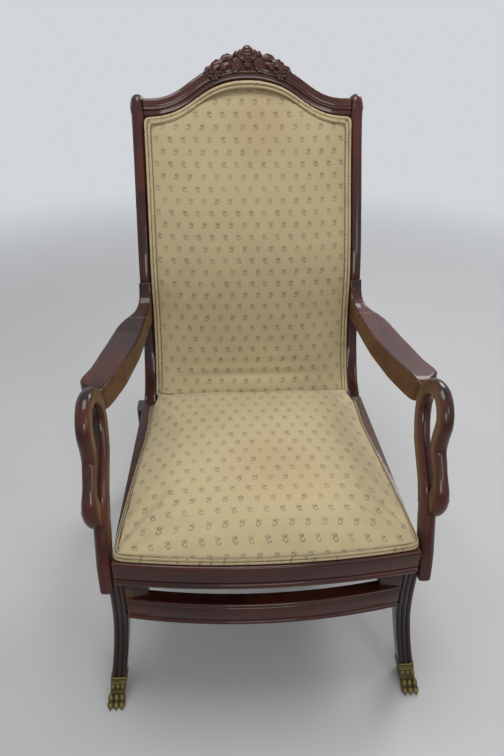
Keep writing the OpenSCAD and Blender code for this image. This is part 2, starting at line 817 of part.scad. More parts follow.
module lower_back_rail() {
    color(mahogany)
        between_posts(joint_gap)
            intersection() {
                side_slab(-seat_half, seat_half)
                    polygon(concat(beside(post_line, back_web_in + 2 * strap_t + joint_gap),
                        turned(beside(post_line, post_d - back_panel_t - joint_gap))));
                translate([-seat_half, post_foot, back_rail_z])
                    cube([seat_w, back_run + post_d, back_rail_h]);
            }
}

module back_panel() {
    color(cloth)
        between_posts(joint_gap)
            intersection() {
                side_slab(-seat_half, seat_half)
                    polygon(concat(beside(back_line, post_d - back_panel_t),
                        turned(beside(back_line, post_d))));
                under_crest(joint_gap);
            }
}

back_strap_rows = 6;
back_strap_columns = 3;
module back_webbing() {
    top = post_last[1] + crest_foot * cos(back_lean) - strap_w / 2;
    step = (top - back_rail_z - strap_w) / (back_strap_rows - 1);
    color(jute) {
        for (i = [0 : back_strap_columns - 1])
            intersection() {
                side_slab(-seat_half, seat_half)
                    polygon(concat(beside(back_line, back_web_in),
                        turned(beside(back_line, back_web_in + strap_t))));
                translate([(i - (back_strap_columns - 1) / 2) * 2 * strap_w - strap_w / 2,
                        post_foot, back_rail_z])
                    cube([strap_w, back_run + post_d, back_rise]);
                under_crest(joint_gap);
            }
        between_posts(joint_gap)
            intersection() {
                side_slab(-seat_half, seat_half)
                    polygon(concat(beside(post_line, back_web_in + strap_t),
                        turned(beside(post_line, back_web_in + 2 * strap_t))));
                for (i = [0 : back_strap_rows - 1])
                    translate([-seat_half, post_foot, back_rail_z + i * step])
                        cube([seat_w, back_run + post_d, strap_w]);
            }
    }
}

back_nu = 16;
back_nv = 26;
back_pad_low = pad_z;
back_pull_share = 0.01;    // how far the back cushion's sides draw in between its corners
back_pad_in = back_web_in - 4 * soft_gap;
function back_pad_top(x) = post_last[1] + crest_low_at(x) * cos(back_lean) - soft_gap * 2;
function back_pad_point(u, v, proud) = let (
    x_flat = u * post_inner(post_last[1]),
    z = back_pad_low + (back_pad_top(x_flat) - back_pad_low) * (v + 1) / 2,
    x = u * (post_inner(z) - soft_gap * 2) * (1 - back_pull_share * (1 - v * v)))
    [x, post_front(z) - proud, z + min(proud, 0) * tan(back_lean) * (v + 1) / 2];
back_pad_points = concat(
    [for (j = [0 : back_nv], i = [0 : back_nu]) let (u = 2 * i / back_nu - 1, v = 2 * j / back_nv - 1)
        back_pad_point(u, v, back_proud + back_crown * crown(u, v))],
    [for (j = [0 : back_nv], i = [0 : back_nu]) let (u = 2 * i / back_nu - 1, v = 2 * j / back_nv - 1)
        back_pad_point(u, v, -back_pad_in)]);

module back_cushion() {
    color(cloth)
        polyhedron(back_pad_points, pad_faces(back_nu, back_nv));
}

// Goose necks: one tube from the tip up the stem, round the loop and down the neck to the head
swan_x = seat_half;
swan_from = [seat_front - swan_ahead, seat_top - swan_drop];
loop_at = swan_from + [swan_d - loop_r - swan_t / 2, swan_h - loop_r - swan_t / 2];
stem_size = loop_at + [loop_r, 0] - swan_from;
neck_size = [swan_d * 0.23, swan_h * 0.35];
stem_shares = [[0.12, 0.02], [0.16, 0.14], [0.28, 0.34], [0.4, 0.48], [0.51, 0.6],
    [0.6, 0.64], [0.745, 0.725], [0.9, 0.82], [1, 0.9], [1, 1]];
neck_shares = [[0, 0], [0.05, -0.2], [0.16, -0.36], [-0.15, -0.47], [-0.4, -0.56],
    [-0.85, -0.66], [-1, -1]];
swan_n = 8;
loop_n = 14;
swan_line = concat(
    curve(sized(stem_shares, stem_size, swan_from), swan_n),
    [for (i = [1 : loop_n - 1]) let (a = 180 * i / loop_n) loop_at + loop_r * [cos(a), sin(a)]],
    curve(sized(neck_shares, neck_size, loop_at - [loop_r, 0]), swan_n));
swan_last = len(swan_line) - 1;
// Along the tube: its radius in shares of half the neck, and how far it stands outward
swan_radius_shares = [[0, 0.3], [0.02, 0.75], [0.06, 0.98], [0.14, 1.13], [0.3, 1.08], [0.44, 1],
    [0.6, 1], [0.72, 0.96], [0.82, 0.92], [0.87, 1.02], [0.91, 1.16], [0.94, 1.16], [0.975, 0.85], [1, 0.4]];
swan_lean_shares = [[0, 0], [0.44, 0.1], [0.7, 1], [0.85, 0.85], [1, 0.55]];
swan_sides = 12;
function swan_mid(i) = [swan_x + stem_out + swan_lean * lookup(i / swan_last, swan_lean_shares),
    swan_line[i][0], swan_line[i][1]];
function swan_up(i) = let (h = heading(swan_line, i)) [0, h[1], -h[0]];
swan_points = [for (i = [0 : swan_last], k = [0 : swan_sides - 1]) let (
    a = 360 * k / swan_sides,
    r = swan_t / 2 * lookup(i / swan_last, swan_radius_shares))
    swan_mid(i) + r * ([1, 0, 0] * cos(a) + swan_up(i) * sin(a))];
swan_faces = concat(
    [for (i = [0 : swan_last - 1], k = [0 : swan_sides - 1]) let (
        a = i * swan_sides + k,
        b = i * swan_sides + (k + 1) % swan_sides) each [
            [a, a + swan_sides, b], [b, a + swan_sides, b + swan_sides]]],
    [for (k = [1 : swan_sides - 2]) [0, k, k + 1]],
    [for (k = [1 : swan_sides - 2]) let (c = swan_last * swan_sides) [c, c + k + 1, c + k]]);

module goose_neck() {
    color(mahogany)
        difference() {
            intersection() {
                polyhedron(swan_points, swan_faces);
                translate([swan_x, swan_from[0] - swan_d, swan_from[1] - swan_t])
                    cube([3 * swan_t, 3 * swan_d, 2 * swan_h]);
            }
            swan_screw_row(swan_x - over, bolt_hole_r, stem_out + over);
        }
}
module goose_neck_left() { on_side(-1) goose_neck(); }
module goose_neck_right() { on_side(1) goose_neck(); }

module goose_neck_screws() {
    color(steel)
        both_sides() {
            swan_screw_row(rail_in, bolt_r, seat_half - rail_in + stem_out - joint_gap);
            swan_screw_row(rail_in - head_h, head_r, head_h);
        }
}

// Arms: planks flared from the posts to the goose necks, coped to both
arm_top = seat_top + arm_rise;
arm_back = post_front(arm_top - arm_fall) + post_d / 2;
arm_front = loop_at[0] + loop_r;
arm_len = arm_back - arm_front;
arm_in_rear = post_inner(arm_top);
arm_in_front = arm_in_rear + arm_flare;
swan_out = swan_x + stem_out + swan_lean + swan_t / 2;
horn_x = swan_out + horn;
shoulder = arm_front + arm_len * 0.82;
arm_outer_line = curve([[horn_x, arm_front + arm_len * 0.13],
    [horn_x - horn * 1.1, arm_front + arm_len * 0.36],
    [post_outer(arm_top) + horn * 1.4, arm_front + arm_len * 0.6],
    [post_outer(arm_top) + horn * 0.6, shoulder]]);
arm_inner_line = curve([[arm_in_rear, arm_back],
    [arm_in_rear, arm_front + arm_len * 0.6],
    [arm_in_front - arm_flare * 0.4, arm_front + arm_len * 0.3],
    [arm_in_front, arm_front]]);
arm_top_line = curve([[arm_front, arm_top], [arm_front + arm_len * 0.35, arm_top - arm_fall],
    [arm_back - arm_len * 0.4, arm_top - arm_fall * 1.9], [arm_back, arm_top - arm_fall]]);
arm_low_line = [for (p = arm_top_line) p - [0, arm_front_h
    + (arm_h - arm_front_h) * (p[0] - arm_front) / arm_len]];

module arm() {
    color(mahogany)
        difference() {
            intersection() {
                translate([0, 0, arm_top - 2 * arm_h])
                    linear_extrude(4 * arm_h)
                        polygon(concat(arm_outer_line,
                            [[post_outer(arm_top), shoulder + horn / 2], [post_outer(arm_top), arm_back]],
                            arm_inner_line,
                            [[horn_x - horn, arm_front],
                            [horn_x - horn * 0.8, arm_front + arm_len * 0.1]]));
                side_slab(0, seat_w)
                    polygon(concat(arm_top_line, turned(arm_low_line)));
            }
            side_slab(0, seat_w)
                post_band(joint_gap);
            side_slab(0, seat_w)
                translate(loop_at)
                    circle(loop_r + swan_t / 2 + joint_gap, $fn = 96);
            arm_dowel(bolt_hole_r * 1.5);
        }
}
module arm_left() { on_side(-1) arm(); }
module arm_right() { on_side(1) arm(); }

// Dowels that pin each arm to its post, half in the one and half in the other
dowel_half = post_d / 2;
dowel_z = arm_top - arm_fall - arm_h / 2;
module arm_dowel(r) {
    translate([(arm_in_rear + post_outer(arm_top)) / 2, post_front(dowel_z) - dowel_half, dowel_z])
        rotate([-90, 0, 0])
            cylinder(r = r, h = 2 * dowel_half);
}

module arm_dowels() {
    color(mahogany)
        both_sides()
            arm_dowel(bolt_r * 1.5);
}

front_leg_left();
front_leg_right();
rear_leg_left();
rear_leg_right();
front_paw_left();
front_paw_right();
rear_paw_left();
rear_paw_right();
base_rail_left();
base_rail_right();
front_stretcher();
rear_stretcher();
base_corner_blocks();
lower_spring_bracket_left();
lower_spring_bracket_right();
lower_bracket_bolts();
spring_pair_left();
spring_pair_right();
upper_spring_bracket_left();
upper_spring_bracket_right();
upper_bracket_bolts();
rocker_cam_left();
rocker_cam_right();
seat_rail_left();
seat_rail_right();
seat_front_rail();
seat_rear_rail();
seat_corner_blocks();
seat_webbing();
seat_dust_cover();
seat_cushion();
back_post_left();
back_post_right();
crest_rail();
crest_carving();
lower_back_rail();
back_webbing();
back_panel();
back_cushion();
arm_left();
arm_right();
arm_dowels();
goose_neck_left();
goose_neck_right();
goose_neck_screws();
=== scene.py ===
"""Platform rocker: the looks of an upholstered chair that rocks on a fixed base.

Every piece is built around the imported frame, in metres, +Z up, and rides on the base or the chair.
"""

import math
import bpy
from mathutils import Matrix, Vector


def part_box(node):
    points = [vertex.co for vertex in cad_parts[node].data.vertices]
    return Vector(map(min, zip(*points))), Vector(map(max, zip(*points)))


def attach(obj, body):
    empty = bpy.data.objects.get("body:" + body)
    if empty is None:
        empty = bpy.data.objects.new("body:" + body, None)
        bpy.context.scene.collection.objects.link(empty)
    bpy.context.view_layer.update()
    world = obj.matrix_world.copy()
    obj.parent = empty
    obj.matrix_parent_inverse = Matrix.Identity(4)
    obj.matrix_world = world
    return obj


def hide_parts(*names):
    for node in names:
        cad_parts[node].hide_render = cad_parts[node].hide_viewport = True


bl_info = {
    "name": "Platform Rocker",
    "version": (1, 0, 0),
    "blender": (4, 5, 0),
    "location": "View3D > Sidebar > Rocker",
    "description": "Builds the wood, brass, springs and upholstery of a platform rocker",
    "category": "Add Mesh",
}

import bmesh
import bpy
from bpy.props import FloatProperty, FloatVectorProperty, PointerProperty
from mathutils import Matrix, Vector, noise
from mathutils.bvhtree import BVHTree

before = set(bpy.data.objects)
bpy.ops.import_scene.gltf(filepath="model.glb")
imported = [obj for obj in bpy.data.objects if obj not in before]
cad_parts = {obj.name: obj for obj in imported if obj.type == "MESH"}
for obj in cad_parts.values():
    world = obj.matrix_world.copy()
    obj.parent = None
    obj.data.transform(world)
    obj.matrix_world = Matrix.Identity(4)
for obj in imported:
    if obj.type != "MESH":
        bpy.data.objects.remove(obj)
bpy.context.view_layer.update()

MM = 0.001
MERGE = 0.02 * MM
PI = math.pi

SEAT_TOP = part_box("seat_rail_left")[1].z
SEAT_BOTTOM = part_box("seat_rail_left")[0].z
SEAT_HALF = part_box("seat_front_rail")[1].x
SEAT_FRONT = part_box("seat_corner_blocks")[0].y
SEAT_BOW = 20 * MM
PAD_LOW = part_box("seat_cushion")[0].z
POST_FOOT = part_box("seat_rail_left")[1].y


# Property groups

class RockerColours(bpy.types.PropertyGroup):
    """Colours of the wood, metal and cloth."""

    wood: FloatVectorProperty(name="Mahogany", description="Body colour of the mahogany",
                              subtype="COLOR", default=(0.075, 0.0160, 0.0100))
    wood_dark: FloatVectorProperty(name="Dark grain", description="Colour of the dark grain and of stain in the corners",
                                   subtype="COLOR", default=(0.017, 0.0052, 0.0040))
    wood_gold: FloatVectorProperty(name="Worn inner faces", description="Lighter, golden wood on the inner faces",
                                   subtype="COLOR", default=(0.150, 0.064, 0.023))
    brass: FloatVectorProperty(name="Aged brass", description="Colour of the brass paws",
                               subtype="COLOR", default=(0.165, 0.125, 0.046))
    brass_dark: FloatVectorProperty(name="Brass patina", description="Dark patina in the hollows of the brass",
                                    subtype="COLOR", default=(0.045, 0.032, 0.014))
    steel: FloatVectorProperty(name="Spring steel", description="Colour of the springs and brackets",
                               subtype="COLOR", default=(0.20, 0.20, 0.205))
    cloth: FloatVectorProperty(name="Upholstery", description="Ground colour of the upholstery cloth",
                               subtype="COLOR", default=(0.520, 0.427, 0.240))
    sprig: FloatVectorProperty(name="Sprig", description="Colour of the woven sprigs",
                               subtype="COLOR", default=(0.105, 0.085, 0.060))
    bud: FloatVectorProperty(name="Bud", description="Colour of the buds on the sprigs",
                             subtype="COLOR", default=(0.230, 0.075, 0.055))
    jute: FloatVectorProperty(name="Jute", description="Colour of the jute webbing",
                              subtype="COLOR", default=(0.330, 0.235, 0.115))
    cambric: FloatVectorProperty(name="Cambric", description="Colour of the dust cover",
                                 subtype="COLOR", default=(0.018, 0.018, 0.021))


class RockerSizes(bpy.types.PropertyGroup):
    """Sizes of the trim that is added around the frame."""

    welt_r: FloatProperty(name="Welt radius", description="Radius of one cord of the double welt",
                          default=3.4 * MM, subtype="DISTANCE", unit="LENGTH")
    sprig_w: FloatProperty(name="Sprig spacing", description="Distance between sprigs along a row",
                           default=28 * MM, subtype="DISTANCE", unit="LENGTH")
    sprig_h: FloatProperty(name="Row spacing", description="Distance between rows of sprigs",
                           default=25 * MM, subtype="DISTANCE", unit="LENGTH")
    swell: FloatProperty(name="Cushion swell", description="Most that a point of a cushion moves as it fills",
                         default=9 * MM, subtype="DISTANCE", unit="LENGTH")
    arris: FloatProperty(name="Arris", description="Rounding of the edges of the joinery",
                         default=2 * MM, subtype="DISTANCE", unit="LENGTH")


class RockerCamera(bpy.types.PropertyGroup):
    """The photograph's viewpoint."""

    place: FloatVectorProperty(name="Place", description="Where the camera stands",
                               subtype="XYZ", default=(-0.0713, -1.0472, 1.2172))
    yaw: FloatProperty(name="Yaw", description="Turn to the right", default=math.radians(3.485), subtype="ANGLE")
    pitch: FloatProperty(name="Pitch", description="Tilt down", default=math.radians(33.981), subtype="ANGLE")
    roll: FloatProperty(name="Roll", description="Roll", default=math.radians(0.516), subtype="ANGLE")
    lens: FloatProperty(name="Lens", description="Focal length in mm over a 36 mm long side", default=28.86)


def sizes():
    return bpy.context.scene.rocker_sizes


def colours():
    return bpy.context.scene.rocker_colours


# Shader maths

class Value:
    """A shader socket that can stand in a sum: each operator adds one Math node."""

    def __init__(self, finish, socket):
        self.finish = finish
        self.socket = socket

    def math(self, operation, *others, first=None):
        """One Math node on this value and others, or on first and this value."""
        values = (self,) + others if first is None else (first, self)
        return self.finish.node("ShaderNodeMath", {"operation": operation}, dict(enumerate(values)))

    def __add__(self, other):
        return self.math("ADD", other)

    __radd__ = __add__

    def __sub__(self, other):
        return self.math("SUBTRACT", other)

    def __rsub__(self, other):
        return self.math("SUBTRACT", first=other)

    def __mul__(self, other):
        return self.math("MULTIPLY", other)

    __rmul__ = __mul__

    def __truediv__(self, other):
        return self.math("DIVIDE", other)

    def __pow__(self, other):
        return self.math("POWER", other)

    def __neg__(self):
        return self.math("MULTIPLY", -1.0)

    def __abs__(self):
        return self.math("ABSOLUTE")

    def above(self, level):
        return self.math("GREATER_THAN", level)

    def below(self, level):
        return self.math("LESS_THAN", level)

    def most(self, other):
        return self.math("MAXIMUM", other)

    def floor(self):
        return self.math("FLOOR")

    def fract(self):
        return self.math("FRACT")

    def sine(self):
        return self.math("SINE")

    def root(self):
        return self.math("SQRT")

    def step(self, low, high):
        """0 below low and 1 above high, smooth between."""
        settings = {"interpolation_type": "SMOOTHSTEP"}
        return self.finish.node("ShaderNodeMapRange", settings, {"Value": self, "From Min": low, "From Max": high})

    def band(self, centre, width):
        """1 on centre, falling to 0 at width to either side."""
        return 1 - abs(self - centre).step(width * 0.5, width)


class Finish:
    """A material or a world under construction, with the shader that it starts with."""

    def __init__(self, name, world=None):
        self.material = world or bpy.data.materials.new(name)
        self.material.use_nodes = True
        self.tree = self.material.node_tree
        self.shader = self.tree.nodes["Background" if world else "Principled BSDF"]

    def node(self, kind, settings=None, sockets=None, out=0):
        """A node of that kind, with its settings made first and then the values or links of its sockets."""
        made = self.tree.nodes.new(kind)
        for key, value in (settings or {}).items():
            if key == "stops":
                self.stops(made.color_ramp, value)
            else:
                setattr(made, key, value)
        for key, value in (sockets or {}).items():
            if isinstance(value, Value):
                self.tree.links.new(value.socket, made.inputs[key])
            else:
                made.inputs[key].default_value = value
        return Value(self, made.outputs[out])

    @staticmethod
    def stops(ramp, stops):
        """Sets a ramp's places and colours."""
        while len(ramp.elements) < len(stops):
            ramp.elements.new(1)
        for element, (place, colour) in zip(ramp.elements, stops):
            element.position = place
            element.color = (*colour, 1)

    def place(self):
        return self.node("ShaderNodeTexCoord", out=3)

    def uv(self, name):
        return self.node("ShaderNodeUVMap", {"uv_map": name})

    def parts(self, vector):
        """The three numbers of a vector."""
        split = self.node("ShaderNodeSeparateXYZ", None, {0: vector})
        return [Value(self, socket) for socket in split.socket.node.outputs]

    def vector(self, x, y, z):
        return self.node("ShaderNodeCombineXYZ", None, {0: x, 1: y, 2: z})

    def stretched(self, vector, scale):
        return self.node("ShaderNodeMapping", None, {"Vector": vector, "Scale": scale})

    def noise(self, vector, scale, detail=3.0, rough=0.5, warp=0.0):
        sockets = {"Vector": vector, "Scale": scale, "Detail": detail, "Roughness": rough, "Distortion": warp}
        return self.node("ShaderNodeTexNoise", None, sockets)

    def mix(self, factor, low, high, blend="MIX"):
        """Two colours, or a colour and a link, mixed by a factor."""
        pair = [c if isinstance(c, Value) else (*c, 1) for c in (low, high)]
        settings = {"data_type": "RGBA", "blend_type": blend}
        return self.node("ShaderNodeMix", settings, {0: factor, 6: pair[0], 7: pair[1]}, out=2)

    def bump(self, height, distance, strength=1.0, under=None):
        sockets = {"Height": height, "Distance": distance, "Strength": strength}
        if under is not None:
            sockets["Normal"] = under
        return self.node("ShaderNodeBump", None, sockets)

    def set(self, **values):
        """Sets the shader's sockets: underscores in the names stand for spaces."""
        for key, value in values.items():
            socket = self.shader.inputs[key.replace("_", " ")]
            if isinstance(value, Value):
                self.tree.links.new(value.socket, socket)
            else:
                socket.default_value = (*value, 1) if hasattr(value, "__len__") and len(value) == 3 else value
        return self.material

    def show_instead(self, share, shader, output):
        """Mixes another shader in before the output, by a share."""
        own = Value(self, self.shader.outputs[0])
        fade = self.node("ShaderNodeMixShader", None, {0: share, 1: own, 2: shader})
        self.tree.links.new(fade.socket, self.tree.nodes[output].inputs["Surface"])


# Finishes

GRAIN = {"x": (0.09, 1.0, 1.0), "y": (1.0, 0.09, 1.0), "z": (1.0, 1.0, 0.09)}


def mahogany(name, along, gold=0.0, depth=0.0, shine=0.38, dull=0.0, joint=None):
    """Polished mahogany with its grain along one axis.

    gold lightens the inner faces, depth darkens all (on the legs partly a painted shade under the chair), shine is
    the polish and dull takes from it; joint is the place of a thin pale line across the arm's top.
    """
    wood = Finish(name)
    place = wood.place()
    x, y, z = wood.parts(place)
    grain_place = wood.stretched(place, GRAIN[along])
    drift = wood.noise(grain_place, 9.0, 2.0, 0.5, 0.6)
    streak = wood.noise(grain_place, 55.0, 5.0, 0.62, 0.8)
    pores = wood.noise(wood.stretched(place, tuple(g * g for g in GRAIN[along])), 900.0, 2.0, 0.6)
    cloud = wood.noise(place, 5.0, 3.0, 0.6)
    shade = (drift * 0.55 + streak * 0.45).step(0.33, 0.68)
    tone = colours()
    colour = wood.mix(shade, tone.wood_dark[:], tone.wood[:])
    colour = wood.mix(cloud.step(0.45, 0.75) * 0.30, colour, tuple(c * 1.75 for c in tone.wood))
    # depth darkens the whole piece: on the legs this is partly their darker wood and partly painted shade under the
    # chair.
    if depth:
        colour = wood.mix(depth, colour, tuple(c * 0.55 for c in tone.wood_dark))
    normal = wood.node("ShaderNodeNewGeometry", out=1)
    across = wood.parts(normal)[0]
    if gold:
        inward = (-(across * x.math("SIGN"))).step(0.35, 0.9)
        high = z.step(0.36, 0.44) * (1 - z.step(0.66, 0.74))
        patchy = wood.noise(grain_place, 11.0, 4.0, 0.65).step(0.30, 0.68)
        rubbed = (wood.noise(place, 26.0, 4.0, 0.6) * 0.6 + patchy * 0.4).step(0.25, 0.75)
        colour = wood.mix(inward * high * (rubbed * 0.75 + 0.25) * gold, colour, tone.wood_gold[:])
    end = abs(wood.parts(normal)["xyz".index(along)]).step(0.80, 0.95)
    colour = wood.mix(end * 0.75, colour, tuple(c * 0.4 for c in tone.wood_dark))
    point = wood.node("ShaderNodeNewGeometry", out=7)
    worn = point.step(0.515, 0.60) * wood.noise(place, 38.0, 3.0, 0.7).step(0.42, 0.62)
    colour = wood.mix(worn * 0.55, colour, tone.wood_gold[:])
    if joint is not None:
        line = (1 - abs(y - joint).step(0.25 * MM, 0.8 * MM)) * z.step(0.595, 0.60)
        colour = wood.mix(line * 0.75, colour, (0.36, 0.22, 0.12))
    rough = cloud * 0.10 + streak * 0.06 + worn * 0.18 + 0.24 + dull
    height = pores * 0.35 + streak * 0.65
    return wood.set(Base_Color=colour, Roughness=rough, Specular_IOR_Level=0.16, Coat_Weight=shine - worn * shine * 0.6,
                    Coat_Roughness=0.05, Normal=wood.bump(height, 0.12 * MM, 0.45))


def aged_brass(name):
    """Cast brass, bright where hands and brooms rub it and dark in its hollows."""
    metal = Finish(name)
    place = metal.place()
    point = metal.node("ShaderNodeNewGeometry", out=7)
    grime = metal.noise(place, 70.0, 5.0, 0.7)
    fine = metal.noise(place, 420.0, 3.0, 0.6)
    bright = (point.step(0.44, 0.56) * 0.75 + grime * 0.5).step(0.35, 0.85)
    tone = colours()
    colour = metal.mix(bright, tone.brass_dark[:], tone.brass[:])
    green = grime.step(0.60, 0.75) * (1 - bright) * 0.5
    colour = metal.mix(green, colour, (0.035, 0.045, 0.022))
    return metal.set(Base_Color=colour, Metallic=bright * 0.35 + 0.55, Roughness=0.62 - bright * 0.24 + fine * 0.08,
                     Normal=metal.bump(fine * 0.6 + grime * 0.4, 0.5 * MM, 0.6))


def spring_steel(name):
    """Oil-blacked steel with rubbed spots."""
    metal = Finish(name)
    place = metal.place()
    cloud = metal.noise(place, 45.0, 4.0, 0.65)
    speck = metal.noise(place, 600.0, 2.0, 0.6)
    tone = colours().steel[:]
    rubbed = cloud.step(0.45, 0.70)
    colour = metal.mix(rubbed, tuple(c * 0.35 for c in tone), tone)
    rust = (cloud * 0.6 + speck * 0.4).step(0.56, 0.66)
    colour = metal.mix(rust * 0.4, colour, (0.10, 0.042, 0.018))
    return metal.set(Base_Color=colour, Metallic=0.85 - rust * 0.5, Roughness=0.48 + rust * 0.25 - rubbed * 0.10,
                     Normal=metal.bump(speck, 0.1 * MM, 0.4))


CLOTH_UV = "Cloth"


def arc(p, q, centre, radius, width):
    """A curved stroke of a sprig: 1 on a circle's line."""
    reach = ((p - centre[0]) ** 2 + (q - centre[1]) ** 2).root()
    return 1 - abs(reach - radius).step(width * 0.35, width)


def petal(p, q, centre, long, wide, turn):
    """A leaf or bud of a sprig: 1 inside an ellipse."""
    a = ((p - centre[0]) * math.cos(turn) + (q - centre[1]) * math.sin(turn)) * (1 / long)
    b = ((q - centre[1]) * math.cos(turn) - (p - centre[0]) * math.sin(turn)) * (1 / wide)
    return 1 - (a * a + b * b).step(0.45, 1.1)


def woven(cloth, u, v):
    """Warp and weft over a map in millimetres, and the slubs in the yarn."""
    weave = (u * (2 * PI / 0.9)).sine() * (v * (2 * PI / 0.9)).sine() * 0.5 + 0.5
    slub = cloth.noise(cloth.stretched(cloth.vector(u, v, 0.0), (0.12, 1.6, 1.0)), 1.0, 3.0, 0.7)
    return weave, slub


def sprigged_cloth(name, sprigs=1.0, stains=()):
    """Woven khaki cloth with rows of small curled sprigs, laid out in millimetres on the piece's own UV map."""
    cloth = Finish(name)
    tone = colours()
    span = sizes()
    place = cloth.place()
    if sprigs:
        u, v, _ = cloth.parts(cloth.uv(CLOTH_UV))
    else:
        x, _, z = cloth.parts(place)
        u, v = x * 1000.0, z * 1000.0
    row = (v * (MM / span.sprig_h)).floor()
    odd = (row * 0.5).fract() * 2
    across = u * (MM / span.sprig_w) + odd * 0.5
    column = across.floor()
    cell = cloth.node("ShaderNodeTexWhiteNoise", {"noise_dimensions": "3D"}, {0: cloth.vector(column, row, 0.0)})
    fray = cloth.noise(cloth.vector(u, v, 0.0), 0.9, 2.0, 0.6)
    flip = 1 - odd * 2
    p = (across.fract() - 0.5) * (span.sprig_w / MM) * flip + (cell - 0.5) * 1.4 + (fray - 0.5) * 2.2
    q = ((v * (MM / span.sprig_h)).fract() - 0.5) * (span.sprig_h / MM) + (fray - 0.5) * 1.4
    stem = arc(p, q, (-1.6, -1.9), 3.5, 1.1) * (q + p * 0.9).below(1.2) * (p + 4.6 - q * 0.2).above(0.4)
    shoot = petal(p, q, (0.9, 1.4), 3.6, 0.75, 2.1)
    leaves = petal(p, q, (-2.4, 3.6), 2.9, 1.25, 2.5).most(petal(p, q, (3.4, 3.4), 2.6, 1.05, 0.75))
    tail = petal(p, q, (-4.4, -3.4), 1.7, 1.2, 0.6)
    bud = petal(p, q, (0.7, 5.6), 1.5, 1.3, 0.0).most(petal(p, q, (3.1, -1.2), 1.4, 0.9, 0.9))
    stroke = (stem * 0.85).most(shoot * 0.8).most(leaves).most(tail)
    weave, slub = woven(cloth, u, v)
    cloud = cloth.noise(place, 7.0, 4.0, 0.6)
    ground = cloth.mix(cloud.step(0.35, 0.70) * 0.45, tone.cloth[:], tuple(c * 0.84 for c in tone.cloth))
    ground = cloth.mix(slub.step(0.40, 0.75) * 0.30, ground, (0.50, 0.37, 0.22))
    ground = cloth.mix(weave * 0.18, ground, (0.24, 0.19, 0.10))
    for x, y, z in stains:
        gap = cloth.node("ShaderNodeVectorMath", {"operation": "DISTANCE"}, {0: place, 1: (x, y, z)}, out=1)
        edge = gap + (cloud - 0.5) * 0.12
        ground = cloth.mix((1 - edge.step(0.02, 0.12)) * 0.22, ground, (0.36, 0.20, 0.09))
    faded = (cell * 0.35 + 0.62) * sprigs * (cloud.step(0.25, 0.6) * 0.35 + 0.65)
    colour = cloth.mix(stroke * faded, ground, tone.sprig[:])
    colour = cloth.mix(bud * faded * 0.8, colour, tone.bud[:])
    wrinkle = cloth.noise(place, 22.0, 2.0, 0.5)
    relief = cloth.bump(wrinkle, 1.2 * MM, 0.25)
    relief = cloth.bump(weave * 0.5 + slub * 0.3 + stroke * 0.4, 0.16 * MM, 0.8, relief)
    return cloth.set(Base_Color=colour, Roughness=0.86, Sheen_Weight=0.25, Sheen_Roughness=0.5, Normal=relief)


def welt_cloth(name):
    """The same cloth cut on the bias round a cord, a little lighter as a painted highlight on the cord, with the ends
    of sprigs crossing it here and there.
    """
    cloth = Finish(name)
    tone = colours()
    place = cloth.place()
    u, v, _ = cloth.parts(cloth.uv(CLOTH_UV))
    weave, slub = woven(cloth, (u + v) * 0.7071, (u - v) * 0.7071)
    # The ground is the cloth's colour raised by 6 %, a painted highlight on the rounded cord.
    ground = cloth.mix(slub.step(0.35, 0.75) * 0.35, tuple(c * 1.06 for c in tone.cloth), (0.46, 0.35, 0.20))
    ground = cloth.mix(weave * 0.15, ground, (0.24, 0.19, 0.10))
    cell = cloth.node("ShaderNodeTexWhiteNoise", {"noise_dimensions": "1D"}, {1: (u * (1 / 19.0)).floor()})
    spot = (u * (1 / 19.0)).fract() - 0.5 + (cell - 0.5) * 0.5 + (v - 10) * 0.02
    speck = cloth.noise(place, 210.0, 2.0, 0.5).step(0.42, 0.58)
    tick = (1 - abs(spot).step(0.04, 0.14)) * cell.step(0.25, 0.45) * speck
    soiled = cloth.noise(place, 24.0, 4.0, 0.6).step(0.48, 0.72)
    colour = cloth.mix(soiled * 0.35, ground, (0.20, 0.14, 0.07))
    colour = cloth.mix(tick * 0.7, colour, tone.sprig[:])
    return cloth.set(Base_Color=colour, Roughness=0.84, Sheen_Weight=0.25, Sheen_Roughness=0.5,
                     Normal=cloth.bump(weave * 0.6 + slub * 0.4, 0.2 * MM, 0.8))


def stitching(name):
    """Dark red-brown thread in the valley beside a welt, in even stitches."""
    thread = Finish(name)
    place = thread.place()
    u, v, _ = thread.parts(thread.uv(CLOTH_UV))
    stitch = ((u * (1 / 4.0)).fract() - 0.5).band(0.0, 0.5)
    grime = thread.noise(place, 30.0, 4.0, 0.65).step(0.3, 0.65)
    colour = thread.mix(stitch * 0.55, (0.105, 0.060, 0.034), (0.230, 0.120, 0.065))
    colour = thread.mix(grime * 0.55, colour, (0.27, 0.20, 0.11))
    twist = ((u + v * 1.5) * (2 * PI / 1.1)).sine() * 0.5 + 0.5
    return thread.set(Base_Color=colour, Roughness=0.8, Normal=thread.bump(stitch * 0.6 + twist * 0.4, 0.4 * MM, 0.8))


def jute_web(name):
    """Coarse jute webbing with its ribs."""
    web = Finish(name)
    place = web.place()
    x, y, z = web.parts(place)
    ribs = ((x * (2 * PI / (2.6 * MM))).sine() * ((y + z) * (2 * PI / (2.6 * MM))).sine()) * 0.5 + 0.5
    fluff = web.noise(place, 240.0, 4.0, 0.7)
    tone = colours().jute[:]
    colour = web.mix((ribs * 0.6 + fluff * 0.4).step(0.25, 0.75), tuple(c * 0.45 for c in tone), tone)
    return web.set(Base_Color=colour, Roughness=0.92, Normal=web.bump(ribs * 0.7 + fluff * 0.3, 0.5 * MM, 0.8))


